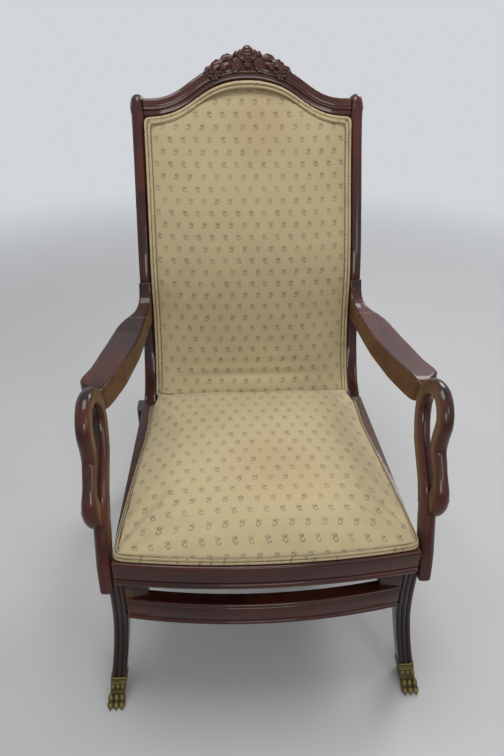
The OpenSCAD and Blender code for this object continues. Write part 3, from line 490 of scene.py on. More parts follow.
def black_cambric(name):
    """Thin black cambric with a fine weave."""
    web = Finish(name)
    place = web.place()
    x, y, _ = web.parts(place)
    weave = ((x * (2 * PI / (1.1 * MM))).sine() * (y * (2 * PI / (1.1 * MM))).sine()) * 0.5 + 0.5
    dust = web.noise(place, 28.0, 5.0, 0.65)
    colour = web.mix(dust.step(0.5, 0.75) * 0.35, colours().cambric[:], (0.085, 0.080, 0.072))
    return web.set(Base_Color=colour, Roughness=0.9, Normal=web.bump(weave * 0.6 + dust * 0.4, 0.25 * MM, 0.6))


# Shapes

def map_cloth(mesh, where):
    """Lays out the map of a cloth: where gives the place on it of each point."""
    layer = mesh.loops.layers.uv.get(CLOTH_UV) or mesh.loops.layers.uv.new(CLOTH_UV)
    for face in mesh.faces:
        for loop in face.loops:
            loop[layer].uv = where(loop.vert.co)


def surface(nu, nv, place, uv=None):
    """A skin bent from a grid: place(u, v) puts each point, u and v running from 0 to 1."""
    mesh = bmesh.new()
    mesh.loops.layers.uv.new(CLOTH_UV)
    bmesh.ops.create_grid(mesh, x_segments=nu, y_segments=nv, size=0.5)
    if uv:
        map_cloth(mesh, lambda co: uv(co.x + 0.5, co.y + 0.5))
    for vert in mesh.verts:
        vert.co = place(vert.co.x + 0.5, vert.co.y + 0.5)
    return mesh


def closed(mesh):
    """Welds the seam of a skin, fills its open ends and turns its faces outwards."""
    bmesh.ops.remove_doubles(mesh, verts=mesh.verts, dist=MERGE)
    bmesh.ops.holes_fill(mesh, edges=mesh.edges, sides=0)
    bmesh.ops.recalc_face_normals(mesh, faces=mesh.faces)
    return mesh


def cad_copy(node, flat=1.0):
    """A CAD node's mesh with its doubles merged and its flat faces whole."""
    mesh = bmesh.new()
    mesh.from_mesh(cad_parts[node].data)
    bmesh.ops.remove_doubles(mesh, verts=mesh.verts, dist=MERGE)
    bmesh.ops.dissolve_limit(mesh, angle_limit=math.radians(flat), verts=mesh.verts, edges=mesh.edges)
    return mesh


def crisp_edges(mesh, angle=30.0):
    """The edges where faces meet at more than an angle in degrees."""
    return [edge for edge in mesh.edges if edge.is_manifold and edge.calc_face_angle(0) > math.radians(angle)]


def eased(mesh, radius, segments=3, angle=30.0):
    """The mesh with its sharp edges rounded."""
    bmesh.ops.bevel(mesh, geom=crisp_edges(mesh, angle), offset=radius, offset_type="OFFSET", affect="EDGES",
                    segments=segments, profile=0.5, material=-1, clamp_overlap=True)
    return mesh


def in_scene(name, data):
    """An object of a mesh, lamp or camera, linked to the scene."""
    made = bpy.data.objects.new(name, data)
    bpy.context.scene.collection.objects.link(made)
    return made


def mesh_object(mesh, name="scratch"):
    """An object that takes over a mesh."""
    data = bpy.data.meshes.new(name)
    mesh.to_mesh(data)
    mesh.free()
    return in_scene(name, data)


def settled(made):
    """The mesh of a scratch object with its modifiers applied, and the object gone."""
    bpy.context.view_layer.update()
    graph = bpy.context.evaluated_depsgraph_get()
    mesh = bmesh.new()
    mesh.from_object(made, graph)
    data = made.data
    bpy.data.objects.remove(made)
    bpy.data.meshes.remove(data)
    return mesh


def smoothed(mesh, passes):
    for _ in range(passes):
        bmesh.ops.smooth_vert(mesh, verts=mesh.verts, factor=0.5, use_axis_x=True, use_axis_y=True, use_axis_z=True)
    return mesh


def fused(mesh, voxel, passes=4):
    """All the solids of a mesh grown into one skin, then smoothed."""
    made = mesh_object(mesh)
    modifier = made.modifiers.new("Fuse", "REMESH")
    modifier.mode = "VOXEL"
    modifier.voxel_size = voxel
    return smoothed(settled(made), passes)


def add_into(mesh, other):
    """Puts another mesh's solids into a mesh."""
    data = bpy.data.meshes.new("part")
    other.to_mesh(data)
    other.free()
    mesh.from_mesh(data)
    bpy.data.meshes.remove(data)
    return mesh


def sided(mesh, side):
    """The right side's shape on that side of the chair."""
    if side == "left":
        bmesh.ops.scale(mesh, vec=(-1, 1, 1), verts=mesh.verts)
        bmesh.ops.reverse_faces(mesh, faces=mesh.faces)
    return mesh


def sawn(mesh, place, outward):
    """Cuts off what lies beyond a plane, and closes the cut."""
    cut = bmesh.ops.bisect_plane(mesh, geom=[*mesh.verts, *mesh.edges, *mesh.faces], dist=MERGE,
                                 plane_co=place, plane_no=outward, clear_outer=True)
    rim = [edge for edge in cut["geom_cut"] if isinstance(edge, bmesh.types.BMEdge)]
    bmesh.ops.holes_fill(mesh, edges=rim, sides=0)
    return mesh


def ball(at, half, segments=24, rings=16):
    """An egg shape round a point, with its half sizes in mm."""
    mesh = bmesh.new()
    bmesh.ops.create_uvsphere(mesh, u_segments=segments, v_segments=rings, radius=MM)
    bmesh.ops.scale(mesh, vec=half, verts=mesh.verts)
    bmesh.ops.translate(mesh, vec=at, verts=mesh.verts)
    return mesh


def add_piece(name, mesh, finish, body, nodes=(), sharp=38.0):
    """Makes an object of a mesh, gives it its finish and its body, and hides the CAD nodes it stands for."""
    for face in mesh.faces:
        face.smooth = True
    for edge in mesh.edges:
        edge.smooth = not (edge.is_manifold and edge.calc_face_angle(0) > math.radians(sharp))
    piece = mesh_object(mesh, name)
    piece.data.materials.append(finish)
    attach(piece, body)
    if nodes:
        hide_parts(*nodes)
    return piece


def refinish(node, finish):
    """Gives a CAD node that keeps its own shape a new finish."""
    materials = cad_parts[node].data.materials
    if not materials:
        materials.append(finish)
    for index in range(len(materials)):
        materials[index] = finish


# Lines that the back and the goose necks follow, as on the frame

def bezier(points, t):
    """The point a share of the way along a curve with four control points."""
    s = 1 - t
    return (points[0] * s ** 3 + points[1] * (3 * s * s * t) + points[2] * (3 * s * t * t) + points[3] * t ** 3)


def curve(shares, size, start, count=12):
    """Points along curves through four control points each, given in shares of a size."""
    points = [Vector((start[0] + s[0] * size[0], start[1] + s[1] * size[1])) for s in shares]
    line = [bezier(points[i:i + 4], k / count) for i in range(0, len(points) - 3, 3) for k in range(count)]
    return line + [points[-1]]


def lookup(x, table):
    """The value of a table of pairs at x, straight between its rows."""
    if x <= table[0][0]:
        return table[0][1]
    for (x0, y0), (x1, y1) in zip(table, table[1:]):
        if x <= x1:
            return y0 + (y1 - y0) * (x - x0) / (x1 - x0)
    return table[-1][1]


def smooth_step(low, high, x):
    """0 at low and 1 at high, smooth between; low may lie above high."""
    t = min(max((x - low) / (high - low), 0), 1)
    return t * t * (3 - 2 * t)


def at_share(line, t):
    """The point a share of the way through a list of points."""
    place = min(max(t, 0), 1) * (len(line) - 1)
    index = min(int(place), len(line) - 2)
    return line[index].lerp(line[index + 1], place - index)


# The pale background that the camera sees, and that the floor fades into
PALE = (0.64, 0.66, 0.69)


class Stage(bpy.types.Operator):
    """Sets the floor, the lights, the world and the camera"""

    bl_idname = "rocker.stage"
    bl_label = "Stage"

    def execute(self, context):
        self.floor()
        self.lights()
        self.world(context)
        self.camera(context)
        return {"FINISHED"}

    def floor(self):
        mesh = bmesh.new()
        bmesh.ops.create_grid(mesh, x_segments=1, y_segments=1, size=9)
        floor = mesh_object(mesh, "floor")
        pale = Finish("pale_floor")
        place = pale.place()
        cloud = pale.noise(place, 3.0, 3.0, 0.5)
        pale.set(Base_Color=pale.mix(cloud, (0.55, 0.555, 0.56), (0.60, 0.60, 0.60)), Roughness=0.75)
        x, y, _ = pale.parts(place)
        far = (x * x + y * y).step(0.8, 10.0)
        seen = pale.node("ShaderNodeEmission", None, {"Color": (*PALE, 1)})
        camera_ray = pale.node("ShaderNodeLightPath")
        pale.show_instead(camera_ray * far, seen, "Material Output")
        floor.data.materials.append(pale.material)

    def lights(self):
        for name, place, target, size, power in (
                ("key", (-0.2, -0.05, 2.8), (0, 0, 0.5), 1.2, 30.0),
                ("fill", (1.3, -1.9, 2.0), (0, 0, 0.7), 0.9, 7.0),
                ("window", (0.1, -2.3, 1.45), (0, -0.1, 0.6), 0.7, 10.0),
                ("back", (1.2, 1.6, 2.2), (0, 0, 0.8), 0.9, 24.0)):
            lamp = bpy.data.lights.new(name, "AREA")
            lamp.size = size
            lamp.energy = power
            lamp.color = (1.0, 0.985, 0.965)
            made = in_scene(name, lamp)
            made.location = place
            made.rotation_euler = (Vector(target) - Vector(place)).to_track_quat("-Z", "Y").to_euler()

    def world(self, context):
        room = Finish("room", bpy.data.worlds.new("room"))
        context.scene.world = room.material
        height = room.parts(room.node("ShaderNodeTexCoord"))[2]
        stops = ((0.0, (0.12, 0.125, 0.13)), (1.0, (0.80, 0.83, 0.88)))
        room.set(Color=room.node("ShaderNodeValToRGB", {"stops": stops}, {0: height}), Strength=0.5)
        seen = room.node("ShaderNodeBackground", None, {"Color": (*PALE, 1)})
        rays = room.node("ShaderNodeLightPath").socket.node.outputs
        straight, glossy, through = [Value(room, rays[f"Is {kind} Ray"]) for kind in ("Camera", "Glossy", "Transmission")]
        room.show_instead(straight.most(glossy).most(through), seen, "World Output")
        context.scene.view_settings.view_transform = "Standard"

    def camera(self, context):
        view = context.scene.rocker_camera
        ahead = Vector((math.sin(view.yaw) * math.cos(view.pitch), math.cos(view.yaw) * math.cos(view.pitch),
                        -math.sin(view.pitch)))
        level = Vector((math.cos(view.yaw), -math.sin(view.yaw), 0))
        above = level.cross(ahead)
        right = level * math.cos(view.roll) + above * math.sin(view.roll)
        up = above * math.cos(view.roll) - level * math.sin(view.roll)
        data = bpy.data.cameras.new("photo_view")
        data.lens = view.lens
        data.sensor_fit = "VERTICAL"
        data.sensor_height = 36
        data.clip_start = 0.01
        camera = in_scene("photo_view", data)
        camera.matrix_world = Matrix.Translation(view.place) @ Matrix((right, up, -ahead)).transposed().to_4x4()
        context.scene.camera = camera


class Joinery(bpy.types.Operator):
    """Rounds the edges of the rails, cams and stretchers and gives them their mahogany"""

    bl_idname = "rocker.joinery"
    bl_label = "Joinery"

    rail_section = ((0, -3), (0.01, -0.6), (0.03, 1.2), (0.07, 2.3), (0.12, 2.9), (0.17, 2.7), (0.215, 1.8), (0.24, 0.4),
                    (0.252, -1.2), (0.26, -2.2), (0.28, -2.3), (0.292, -1.0), (0.305, -0.3), (0.34, 0), (0.6, 0.1),
                    (0.86, 0), (0.95, -0.3), (0.98, -1.2), (1, -3))
    stretcher_section = ((0, -3), (0.01, -0.8), (0.035, 1.0), (0.075, 2.2), (0.115, 2.2), (0.155, 1.0), (0.172, -1.0),
                         (0.178, -1.8), (0.2, -1.9), (0.215, -0.6), (0.24, 0), (0.5, 0.1), (0.76, 0), (0.785, -0.6),
                         (0.8, -1.9), (0.822, -1.8), (0.828, -1.0), (0.845, 1.0), (0.885, 2.2), (0.925, 2.2), (0.965, 1.0),
                         (0.99, -0.8), (1, -3))

    def execute(self, context):
        lengthwise = mahogany("mahogany_rails", "y")
        crosswise = mahogany("mahogany_cross", "x")
        radius = sizes().arris
        for side in ("left", "right"):
            for node, body in ((f"base_rail_{side}", "base"), (f"rocker_cam_{side}", "chair"),
                               (f"seat_rail_{side}", "chair")):
                add_piece(node + "_wood", eased(cad_copy(node), radius), lengthwise, body, [node])
        for node, body, half, bow, thick, section in (
                ("seat_front_rail", "chair", SEAT_HALF, SEAT_BOW, 20 * MM, self.rail_section),
                ("front_stretcher", "base", LEG_INNER, 25 * MM, 25 * MM, self.stretcher_section)):
            add_piece(node + "_wood", self.moulded(node, half, bow, thick, section), crosswise, body, [node])
        for node, body in (("rear_stretcher", "base"), ("seat_rear_rail", "chair"), ("lower_back_rail", "chair")):
            add_piece(node + "_wood", eased(cad_copy(node), radius * 0.6, angle=50), crosswise, body,
                      [node])
        for node in ("base_corner_blocks", "seat_corner_blocks", "arm_dowels"):
            refinish(node, crosswise)
        return {"FINISHED"}

    def moulded(self, node, half, bow, thick, section):
        """A bowed rail with a moulded face: the section gives shares of its height and mm in front of its face."""
        low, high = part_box(node)
        front = low.y + 2.5 * MM
        radius = (half * half + bow * bow) / (2 * bow)
        rows = [(share, ahead * MM) for share, ahead in section]
        rows += [(1, -0.25 * thick), (1, -thick + MM), (0.98, -thick), (0.5, -thick), (0.02, -thick), (0, -thick + MM),
                 (0, -0.25 * thick), rows[0]]

        def place(u, v):
            share, ahead = rows[round(u * (len(rows) - 1))]
            turn = math.asin(half / radius) * (2 * v - 1)
            x = (radius + ahead) * math.sin(turn)
            y = front + radius - (radius + ahead) * math.cos(turn)
            return (max(-half, min(half, x)), y, low.z + (high.z - low.z) * share)

        return closed(surface(len(rows) - 1, 96, place))


class Posts(bpy.types.Operator):
    """Shapes the back posts with rounded edges and ears"""

    bl_idname = "rocker.posts"
    bl_label = "Back posts"

    depth = 34 * MM
    round_d = 8 * MM
    crown_h = 26 * MM
    crown_fall = (13 * MM, 6 * MM)

    def execute(self, context):
        finish = mahogany("mahogany_posts", "z", gold=0.6, shine=0.48)
        for side in ("left", "right"):
            node = f"back_post_{side}"
            mesh = fused(cad_copy(node), 2.2 * MM, 5)
            self.round_off(mesh)
            add_piece(node + "_wood", mesh, finish, "chair", [node])
        return {"FINISHED"}

    def round_off(self, mesh):
        """Turns the posts' square front into a half round above the seat, and their top into a dome."""
        posts, _ = post_tables()
        top = max(vert.co.z for vert in mesh.verts)
        for vert in mesh.verts:
            co = vert.co
            side = max(-1, min(1, (abs(co.x) - post_inner(co.z) - POST_W / 2) / (POST_W / 2 + 0.8 * MM)))
            deep = max(0, min(1, (co.y - lookup(co.z, posts)) / self.depth))
            arch = 1 - math.sqrt(1 - 0.97 * side * side)
            fall = self.round_d * arch * (1 - deep) * smooth_step(SEAT_TOP + 60 * MM, SEAT_TOP + 120 * MM, co.z)
            crown = smooth_step(top - self.crown_h, top, co.z)
            dome = 1 - math.sqrt(1 - 0.9 * (2 * deep - 1) ** 2)
            co.z -= fall * math.sin(LEAN) + crown * (self.crown_fall[0] * arch + self.crown_fall[1] * dome)
            co.y += fall * math.cos(LEAN)


# The right arm's edges in mm by place from front to back: inner, outer, top and underside
ARM_FRONT = -206
ARM_INNER = ((-206, 284), (-190, 279), (-177, 273), (-143, 263), (-115, 255.5), (-88, 249), (-45, 242), (-5, 235),
             (43, 230.5), (80, 228), (126, 224.5), (155, 221.5), (180, 220.5))
ARM_OUTER = ((-206, 295), (-182, 299), (-174, 301.5), (-168, 306), (-162, 313), (-156, 318), (-150, 320.5), (-138, 319.5),
             (-122, 315), (-105, 310), (-70, 305), (-42, 301.5), (-8, 296.5), (30, 291.5), (58, 287), (80, 281),
             (100, 272), (114, 263.5), (127, 257), (140, 252.5), (155, 249), (168, 247.5), (180, 247))
ARM_TOP = ((-206, 608), (-190, 613.5), (-178, 618), (-168, 618.5), (-150, 617.5), (-100, 613.5), (-40, 608.5),
           (0, 605), (43, 602), (90, 602.5), (126, 604), (142, 606.5), (155, 611), (165, 617.5), (173, 627), (178, 638),
           (180, 646))
ARM_LOW = ((-206, 590), (-190, 580), (-178, 571.5), (-166, 567), (-150, 565), (-100, 562.5), (-40, 561), (50, 561),
           (200, 560.5))


class Arms(bpy.types.Operator):
    """Shapes the arms, flared from the posts to the horns beside the goose necks"""

    bl_idname = "rocker.arms"
    bl_label = "Arms"

    def execute(self, context):
        finish = mahogany("mahogany_arms", "y", gold=1.0, shine=0.3, dull=0.08, joint=104 * MM)
        for side in ("left", "right"):
            node = f"arm_{side}"
            add_piece(node + "_wood", sided(self.arm(), side), finish, "chair", [node])
        return {"FINISHED"}

    squareness = 0.16

    def arm(self):
        """An arm as rings that run from inside the post to the horn."""
        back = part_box("arm_right")[1].y / MM + 9

        def place(u, v):
            y = back + (ARM_FRONT - back) * (1 - (1 - v) ** 1.25)
            x0, x1 = lookup(y, ARM_INNER), lookup(y, ARM_OUTER)
            z0, z1 = lookup(y, ARM_LOW), lookup(y, ARM_TOP)
            turn = 2 * PI * u
            across = math.copysign(abs(math.cos(turn)) ** self.squareness, math.cos(turn))
            rise = math.copysign(abs(math.sin(turn)) ** self.squareness, math.sin(turn))
            middle, half = (x0 + x1) / 2, (x1 - x0) / 2
            dish = 0.8 * (1 - across * across) if rise > 0 else 0.0
            return (MM * (middle + half * across), MM * y, MM * ((z0 + z1) / 2 + (z1 - z0) / 2 * rise - dish))

        return fused(closed(surface(96, 190, place)), 1.6 * MM, 3)


# The stem's, neck's and beak's middle lines in shares of their sizes, and the thickness along them
STEM_SHARES = ((0.12, 0.02), (0.16, 0.14), (0.28, 0.34), (0.4, 0.48), (0.51, 0.6),
               (0.6, 0.64), (0.745, 0.725), (0.9, 0.82), (1, 0.9), (1, 1))
NECK_SHARES = ((0, 0), (0.05, -0.2), (0.16, -0.36), (-0.15, -0.47), (-0.4, -0.56),
               (-0.72, -0.66), (-0.92, -0.84), (-1.0, -1.0), (-0.98, -1.12), (-0.86, -1.21), (-0.7, -1.26))
STEM_SWELL = ((0, 0.84), (0.06, 0.9), (0.18, 1.06), (0.42, 1.1), (0.6, 1.02), (0.8, 1.0), (1, 1.0))
NECK_SWELL = ((0, 1.0), (0.3, 0.99), (0.5, 0.93), (0.63, 0.86), (0.74, 0.93), (0.86, 1.09), (0.97, 1.21),
              (1.08, 1.22), (1.15, 1.12), (1.21, 0.92), (1.25, 0.66), (1.26, 0.5))
LEAN_SHARES = ((0, 0), (0.4, 0.1), (0.64, 1), (0.8, 0.9), (0.92, 0.85), (1, 0.7))


class GooseNecks(bpy.types.Operator):
    """Carves the goose necks that carry the arms: stem, loop, neck and a head whose beak lies on the stem"""

    bl_idname = "rocker.goose_necks"
    bl_label = "Goose necks"

    loop_r = 43 * MM
    thick = 30 * MM
    stem_size = (183 * MM, 283 * MM)
    neck_size = (45.5 * MM, 119.4 * MM)
    stem_out = 14 * MM
    lean = 12 * MM

    def execute(self, context):
        finish = mahogany("mahogany_necks", "z", gold=0.8, shine=0.42)
        for side in ("left", "right"):
            node = f"goose_neck_{side}"
            add_piece(node + "_wood", sided(self.neck(), side), finish, "chair", [node])
        return {"FINISHED"}

    def middle_line(self):
        """The neck's middle line seen from the side, from the stem's foot to the beak."""
        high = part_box("goose_neck_right")[1]
        centre = Vector((high.y - self.loop_r - self.thick / 2, high.z - self.loop_r - self.thick / 2))
        start = centre + Vector((self.loop_r, 0)) - Vector(self.stem_size)
        turn = 30
        loop = [centre + self.loop_r * Vector((math.cos(PI * i / turn), math.sin(PI * i / turn)))
                for i in range(1, turn)]
        return (curve(STEM_SHARES, self.stem_size, start, 24) + loop
                + curve(NECK_SHARES, self.neck_size, centre - Vector((self.loop_r, 0)), 18))

    def neck(self):
        """The right goose neck, cut flat where it lies on the side rail."""
        line = self.middle_line()
        lengths = [0.0]
        for a, b in zip(line, line[1:]):
            lengths.append(lengths[-1] + (b - a).length)
        shares = [length / lengths[-1] for length in lengths]
        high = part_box("goose_neck_right")[1]
        loop_z = high.z - self.loop_r - self.thick / 2
        turning = shares[line.index(max(line, key=lambda point: point.y))]
        middle = SEAT_HALF + self.stem_out

        def place(u, v):
            index = min(max(sum(1 for share in shares if share < v), 1), len(line) - 1)
            part = (v - shares[index - 1]) / max(shares[index] - shares[index - 1], 1e-9)
            at = line[index - 1].lerp(line[index], part)
            ahead = (line[min(index + 1, len(line) - 1)] - line[max(index - 2, 0)]).normalized()
            turn = 2 * PI * u
            out, up = math.cos(turn), math.sin(turn)
            if at.y > loop_z or v < turning:
                swell = lookup((at.y - line[0].y) / self.stem_size[1], STEM_SWELL)
                for ring in (0.452, 0.43, 0.408):
                    ridge = math.exp(-(((at.y - line[0].y) / self.stem_size[1] - ring) / 0.0065) ** 2)
                    swell -= 0.1 * ridge * smooth_step(-0.1, 0.5, up)
            else:
                swell = lookup((loop_z - at.y) / self.neck_size[1], NECK_SWELL)
            if at.y > loop_z:
                swell = 1.0
            radius = self.thick / 2 * swell
            square = 0.55 * smooth_step(0.12, 0.0, v)
            out = math.copysign(abs(out) ** (1 - square), out)
            up = math.copysign(abs(up) ** (1 - square), up)
            x = middle + self.lean * lookup(v, LEAN_SHARES) + radius * max(out, -0.72)
            return (x, at.x + radius * up * ahead.y, at.y - radius * up * ahead.x)

        mesh = closed(surface(36, 260, place))
        head = Vector((middle + self.lean * 0.8, high.y - 2 * self.loop_r - self.thick / 2 - self.neck_size[0],
                       loop_z - self.neck_size[1] * 0.98))
        for out, deep in ((-1, 0.76), (1, 1.14)):
            at = head + Vector((out * self.thick / 2 * deep, -4 * MM, 0))
            add_into(mesh, ball(at, (1.44, 1.92, 3.84), 16, 10))
        return sawn(fused(mesh, 1.7 * MM, 2), (SEAT_HALF + 0.1 * MM, 0, 0), (-1, 0, 0))


# The posts' front line from the seat's top, in shares of the back's run and rise, and where it ends
BACK_RUN = 269 * MM
BACK_RISE = 588 * MM
POST_W = 27 * MM
POST_D = 40 * MM
POST_SHARES = ((0, 0), (0.234, 0.039), (0.342, 0.236), (0.378, 0.4), (0.414, 0.547), (0.773, 0.759), (1, 1))
POST_LAST = (POST_FOOT + BACK_RUN, SEAT_TOP + BACK_RISE)
LEAN = math.atan2(BACK_RUN * (1 - POST_SHARES[5][0]), BACK_RISE * (1 - POST_SHARES[5][1]))

# The crest's plane: across the chair, up the back's lean, and forward out of it
CREST_SHARES = ((0, 1), (0.17, 1), (0.28, 0.88), (0.383, 0.66), (0.5, 0.42), (0.62, 0.03), (0.86, 0))
CREST_H = 35 * MM
CREST_RISE = 73 * MM
CREST_DROP = 12 * MM
CREST_HALF = 235.5 * MM
CREST_FOOT = POST_D / 2 - CREST_DROP - CREST_H


def crest_point(x, up, forward):
    """A point in the crest's plane, up from the top of the posts and forward of the plane."""
    return Vector((x, POST_LAST[0] + up * math.sin(LEAN) - forward * math.cos(LEAN),
                   POST_LAST[1] + up * math.cos(LEAN) + forward * math.sin(LEAN)))


def crest_line():
    """The crest rail's lower edge from left to right, as points across and up its plane."""
    right = curve(CREST_SHARES, (CREST_HALF, CREST_RISE), (0, CREST_FOOT), 14)
    right.append(Vector((CREST_HALF, CREST_FOOT)))
    return [Vector((-p.x, p.y)) for p in reversed(right[1:])] + right


CREST_LOW = [(p.x, p.y) for p in crest_line() if p.x >= 0]


def crest_low(x):
    """How high the crest rail's lower edge runs in its plane."""
    return lookup(abs(x), CREST_LOW)


# The crest rail's section: share of its height, and mm in front of its face
RAIL_SECTION = ((0.0, -25.5), (0.0, -12.0), (0.0, -5.5), (0.03, -4.2), (0.10, -3.4), (0.22, -2.9), (0.26, -2.6),
                (0.275, -1.2), (0.30, 0.7), (0.335, 1.7), (0.375, 1.9), (0.41, 1.3), (0.435, 0.0), (0.45, -1.3),
                (0.47, -1.5), (0.50, -0.9), (0.58, -0.3), (0.70, 0.0), (0.82, -0.1), (0.90, -0.6), (0.95, -1.7),
                (0.985, -3.6), (1.0, -6.5), (1.0, -13.0), (1.0, -20.0), (0.985, -23.5), (0.95, -25.2), (0.90, -26.0),
                (0.60, -26.0), (0.30, -26.0), (0.06, -26.0), (0.0, -25.5))

# Half of the carving, in mm across and above the rail's lower edge: each leaf's foot, tip, width, stand, bow and lobes
CREST_LEAVES = ((29, 42, 62, 43, 15, 5.0, 4.0, 3), (51, 38, 82, 35, 19, 5.5, 3.0, 3), (74, 39, 94, 36, 10, 3.0, 2.0, 2),
                (20, 39, 33, 9, 23, 6.0, -2.0, 4), (38, 31, 60, 21, 12, 6.5, 2.0, 2), (14, 48, 33, 44, 11, 6.0, 3.0, 2),
                (11, 37, 21, 21, 9, 3.5, 1.0, 2), (60, 32, 79, 27, 9, 7.0, 1.0, 2))
CREST_BERRIES = ((58, 19), (64.5, 21.5), (71, 24), (77.5, 27), (61.5, 13.5), (68, 16), (74.5, 18.5), (66, 9.5),
                 (72.5, 11.5), (80, 21))
# The rose, in mm: each bud's place and half sizes, and each petal's width, lower and upper ends, thickness and stand
ROSE_BUDS = ((15.5, 49, (4.5, 6.5, 5)), (17, 41, (4, 5.5, 4)), (11.5, 35.5, (5, 4, 4.5)))
ROSE_PETALS = ((11.5, 46, 56, 3.0, 10.5), (13.5, 40, 53, 3.2, 9.0), (15, 34, 50, 3.4, 7.0), (13, 29, 42, 3.0, 4.5))


class Crest(bpy.types.Operator):
    """Moulds the crest rail and carves its rose, leaves and berries"""

    bl_idname = "rocker.crest"
    bl_label = "Crest"

    def execute(self, context):
        finish = mahogany("mahogany_crest", "x", shine=0.55)
        add_piece("crest_rail_wood", self.rail(), finish, "chair", ["crest_rail"])
        carving = mahogany("mahogany_carving", "x", shine=0.55)
        add_piece("crest_carving_wood", self.carving(), carving, "chair", ["crest_carving"], sharp=70)
        return {"FINISHED"}

    def rail(self):
        """The moulded crest rail, cut square at its ends."""
        line = crest_line()
        rows = len(RAIL_SECTION) - 1

        def place(u, v):
            index = v * (len(line) - 1)
            at = at_share(line, v)
            near = line[max(int(index) - 1, 0)]
            far = line[min(int(index) + 2, len(line) - 1)]
            along = (far - near).normalized()
            height, forward = RAIL_SECTION[round(u * rows)]
            edge = at + Vector((-along.y, along.x)) * height * CREST_H
            return crest_point(edge.x, edge.y, forward * MM)

        mesh = surface(rows, len(line) - 1, place)
        bmesh.ops.remove_doubles(mesh, verts=mesh.verts, dist=MERGE)
        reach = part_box("crest_rail")[1].x
        for side in (-1, 1):
            bmesh.ops.bisect_plane(mesh, geom=[*mesh.verts, *mesh.edges, *mesh.faces], dist=MERGE,
                                   plane_co=(side * reach, 0, 0), plane_no=(side, 0, 0), clear_outer=True)
        return closed(mesh)

    def leaf(self, side, foot, tip, width, stand, bow, lobes):
        """A lobed leaf with a raised midrib and edges that curl forward, its tip bent down to the rail."""
        start = Vector((side * foot[0], foot[1])) * MM + Vector((0, crest_low(foot[0] * MM)))
        end = Vector((side * tip[0], tip[1])) * MM + Vector((0, crest_low(tip[0] * MM)))
        along = (end - start).normalized()
        across = Vector((-along.y, along.x)) * side
        length = (end - start).length

        def place(u, v):
            turn = 2 * PI * u
            broad = width * MM / 2 * math.sin(PI * min(v ** 0.72, 1)) ** 0.75
            broad *= 1 - 0.2 * abs(math.sin(lobes * PI * v)) ** 3 * smooth_step(0.05, 0.3, v)
            reach = math.cos(turn)
            at = start + along * (length * v) + across * (broad * reach + bow * MM * math.sin(PI * v))
            face = math.sin(turn)
            if face < 0:
                return crest_point(at.x, at.y, -1.5 * MM)
            rib = 1.5 * MM * math.exp(-(reach / 0.14) ** 2) * math.sin(PI * v)
            lip = 2.4 * MM * abs(reach) ** 3 * math.sin(PI * min(v * 1.1, 1))
            rise = stand * MM * (1 - 0.55 * v ** 3) * face ** 0.35
            return crest_point(at.x, at.y, rise + (rib + lip) * face ** 0.5)

        return closed(surface(28, 26, place))

    def ridge(self, points, radius, stand, count=20):
        """A rounded, tapering ridge by four points in mm, across and above the rail's lower edge at the middle."""
        points = [Vector((x * MM, crest_low(0) + height * MM)) for x, height in points]
        line = [bezier(points, i / count) for i in range(count + 1)]

        def place(u, v):
            index = round(v * count)
            at = line[index]
            ahead = (line[min(index + 1, count)] - line[max(index - 1, 0)]).normalized()
            size = radius * math.sin(PI * (0.06 + 0.88 * v)) ** 0.6
            across = size * math.cos(2 * PI * u)
            at = at + Vector((-ahead.y, ahead.x)) * across
            return crest_point(at.x, at.y, stand * math.sin(PI * (0.15 + 0.7 * v)) + size * math.sin(2 * PI * u))

        return closed(surface(14, count, place))

    def knob(self, across, up, half, stand):
        """A berry, bud or rose's heart at a place in the crest's plane."""
        mesh = bmesh.new()
        bmesh.ops.create_uvsphere(mesh, u_segments=24, v_segments=16, radius=1)
        for vert in mesh.verts:
            vert.co = crest_point(across + vert.co.x * half[0], up + vert.co.y * half[1], stand + vert.co.z * half[2])
        return mesh

    def carving(self):
        """The carving's ground, with its leaves, berries and rose laid on and grown into one."""
        mesh = cad_copy("crest_carving", 0.2)
        plane = crest_point(0, 0, 0)
        forward = Vector((0, -math.cos(LEAN), math.sin(LEAN)))
        upward = Vector((0, math.sin(LEAN), math.cos(LEAN)))
        for vert in mesh.verts:
            stand = (vert.co - plane).dot(forward)
            if stand > 1 * MM:
                vert.co -= forward * (stand - 1 * MM)
            if (vert.co - plane).dot(upward) > crest_low(vert.co.x) + CREST_H + 3 * MM:
                vert.co -= upward * 3.5 * MM
        for side in (1, -1):
            for x0, h0, x1, h1, width, stand, bow, lobes in CREST_LEAVES:
                add_into(mesh, self.leaf(side, (x0, h0), (x1, h1), width, stand, bow, lobes))
            for across, height in CREST_BERRIES:
                x = side * across * MM
                add_into(mesh, self.knob(x, crest_low(x) + height * MM, (3.4 * MM,) * 3, 2.6 * MM))
            for x, height, half in ROSE_BUDS:
                add_into(mesh, self.knob(side * x * MM, crest_low(0) + height * MM, [size * MM for size in half], 5 * MM))
            sepal = [(side * x, height) for x, height in ((5, 33), (3.5, 28), (4, 22), (6, 17))]
            add_into(mesh, self.ridge(sepal, 2.6 * MM, 3 * MM))
        add_into(mesh, self.knob(0, crest_low(0) + 54 * MM, (12 * MM, 9.5 * MM, 9 * MM), 4 * MM))
        for wide, low, high, thick, stand in ROSE_PETALS:
            points = ((-wide, high), (-wide * 0.8, low), (wide * 0.8, low), (wide, high))
            add_into(mesh, self.ridge(points, thick * MM, stand * MM))
        add_into(mesh, self.ridge(((0, 34), (0, 30), (0, 22), (0, 17)), 3 * MM, 3.5 * MM))
        return fused(mesh, 0.85 * MM, 1)


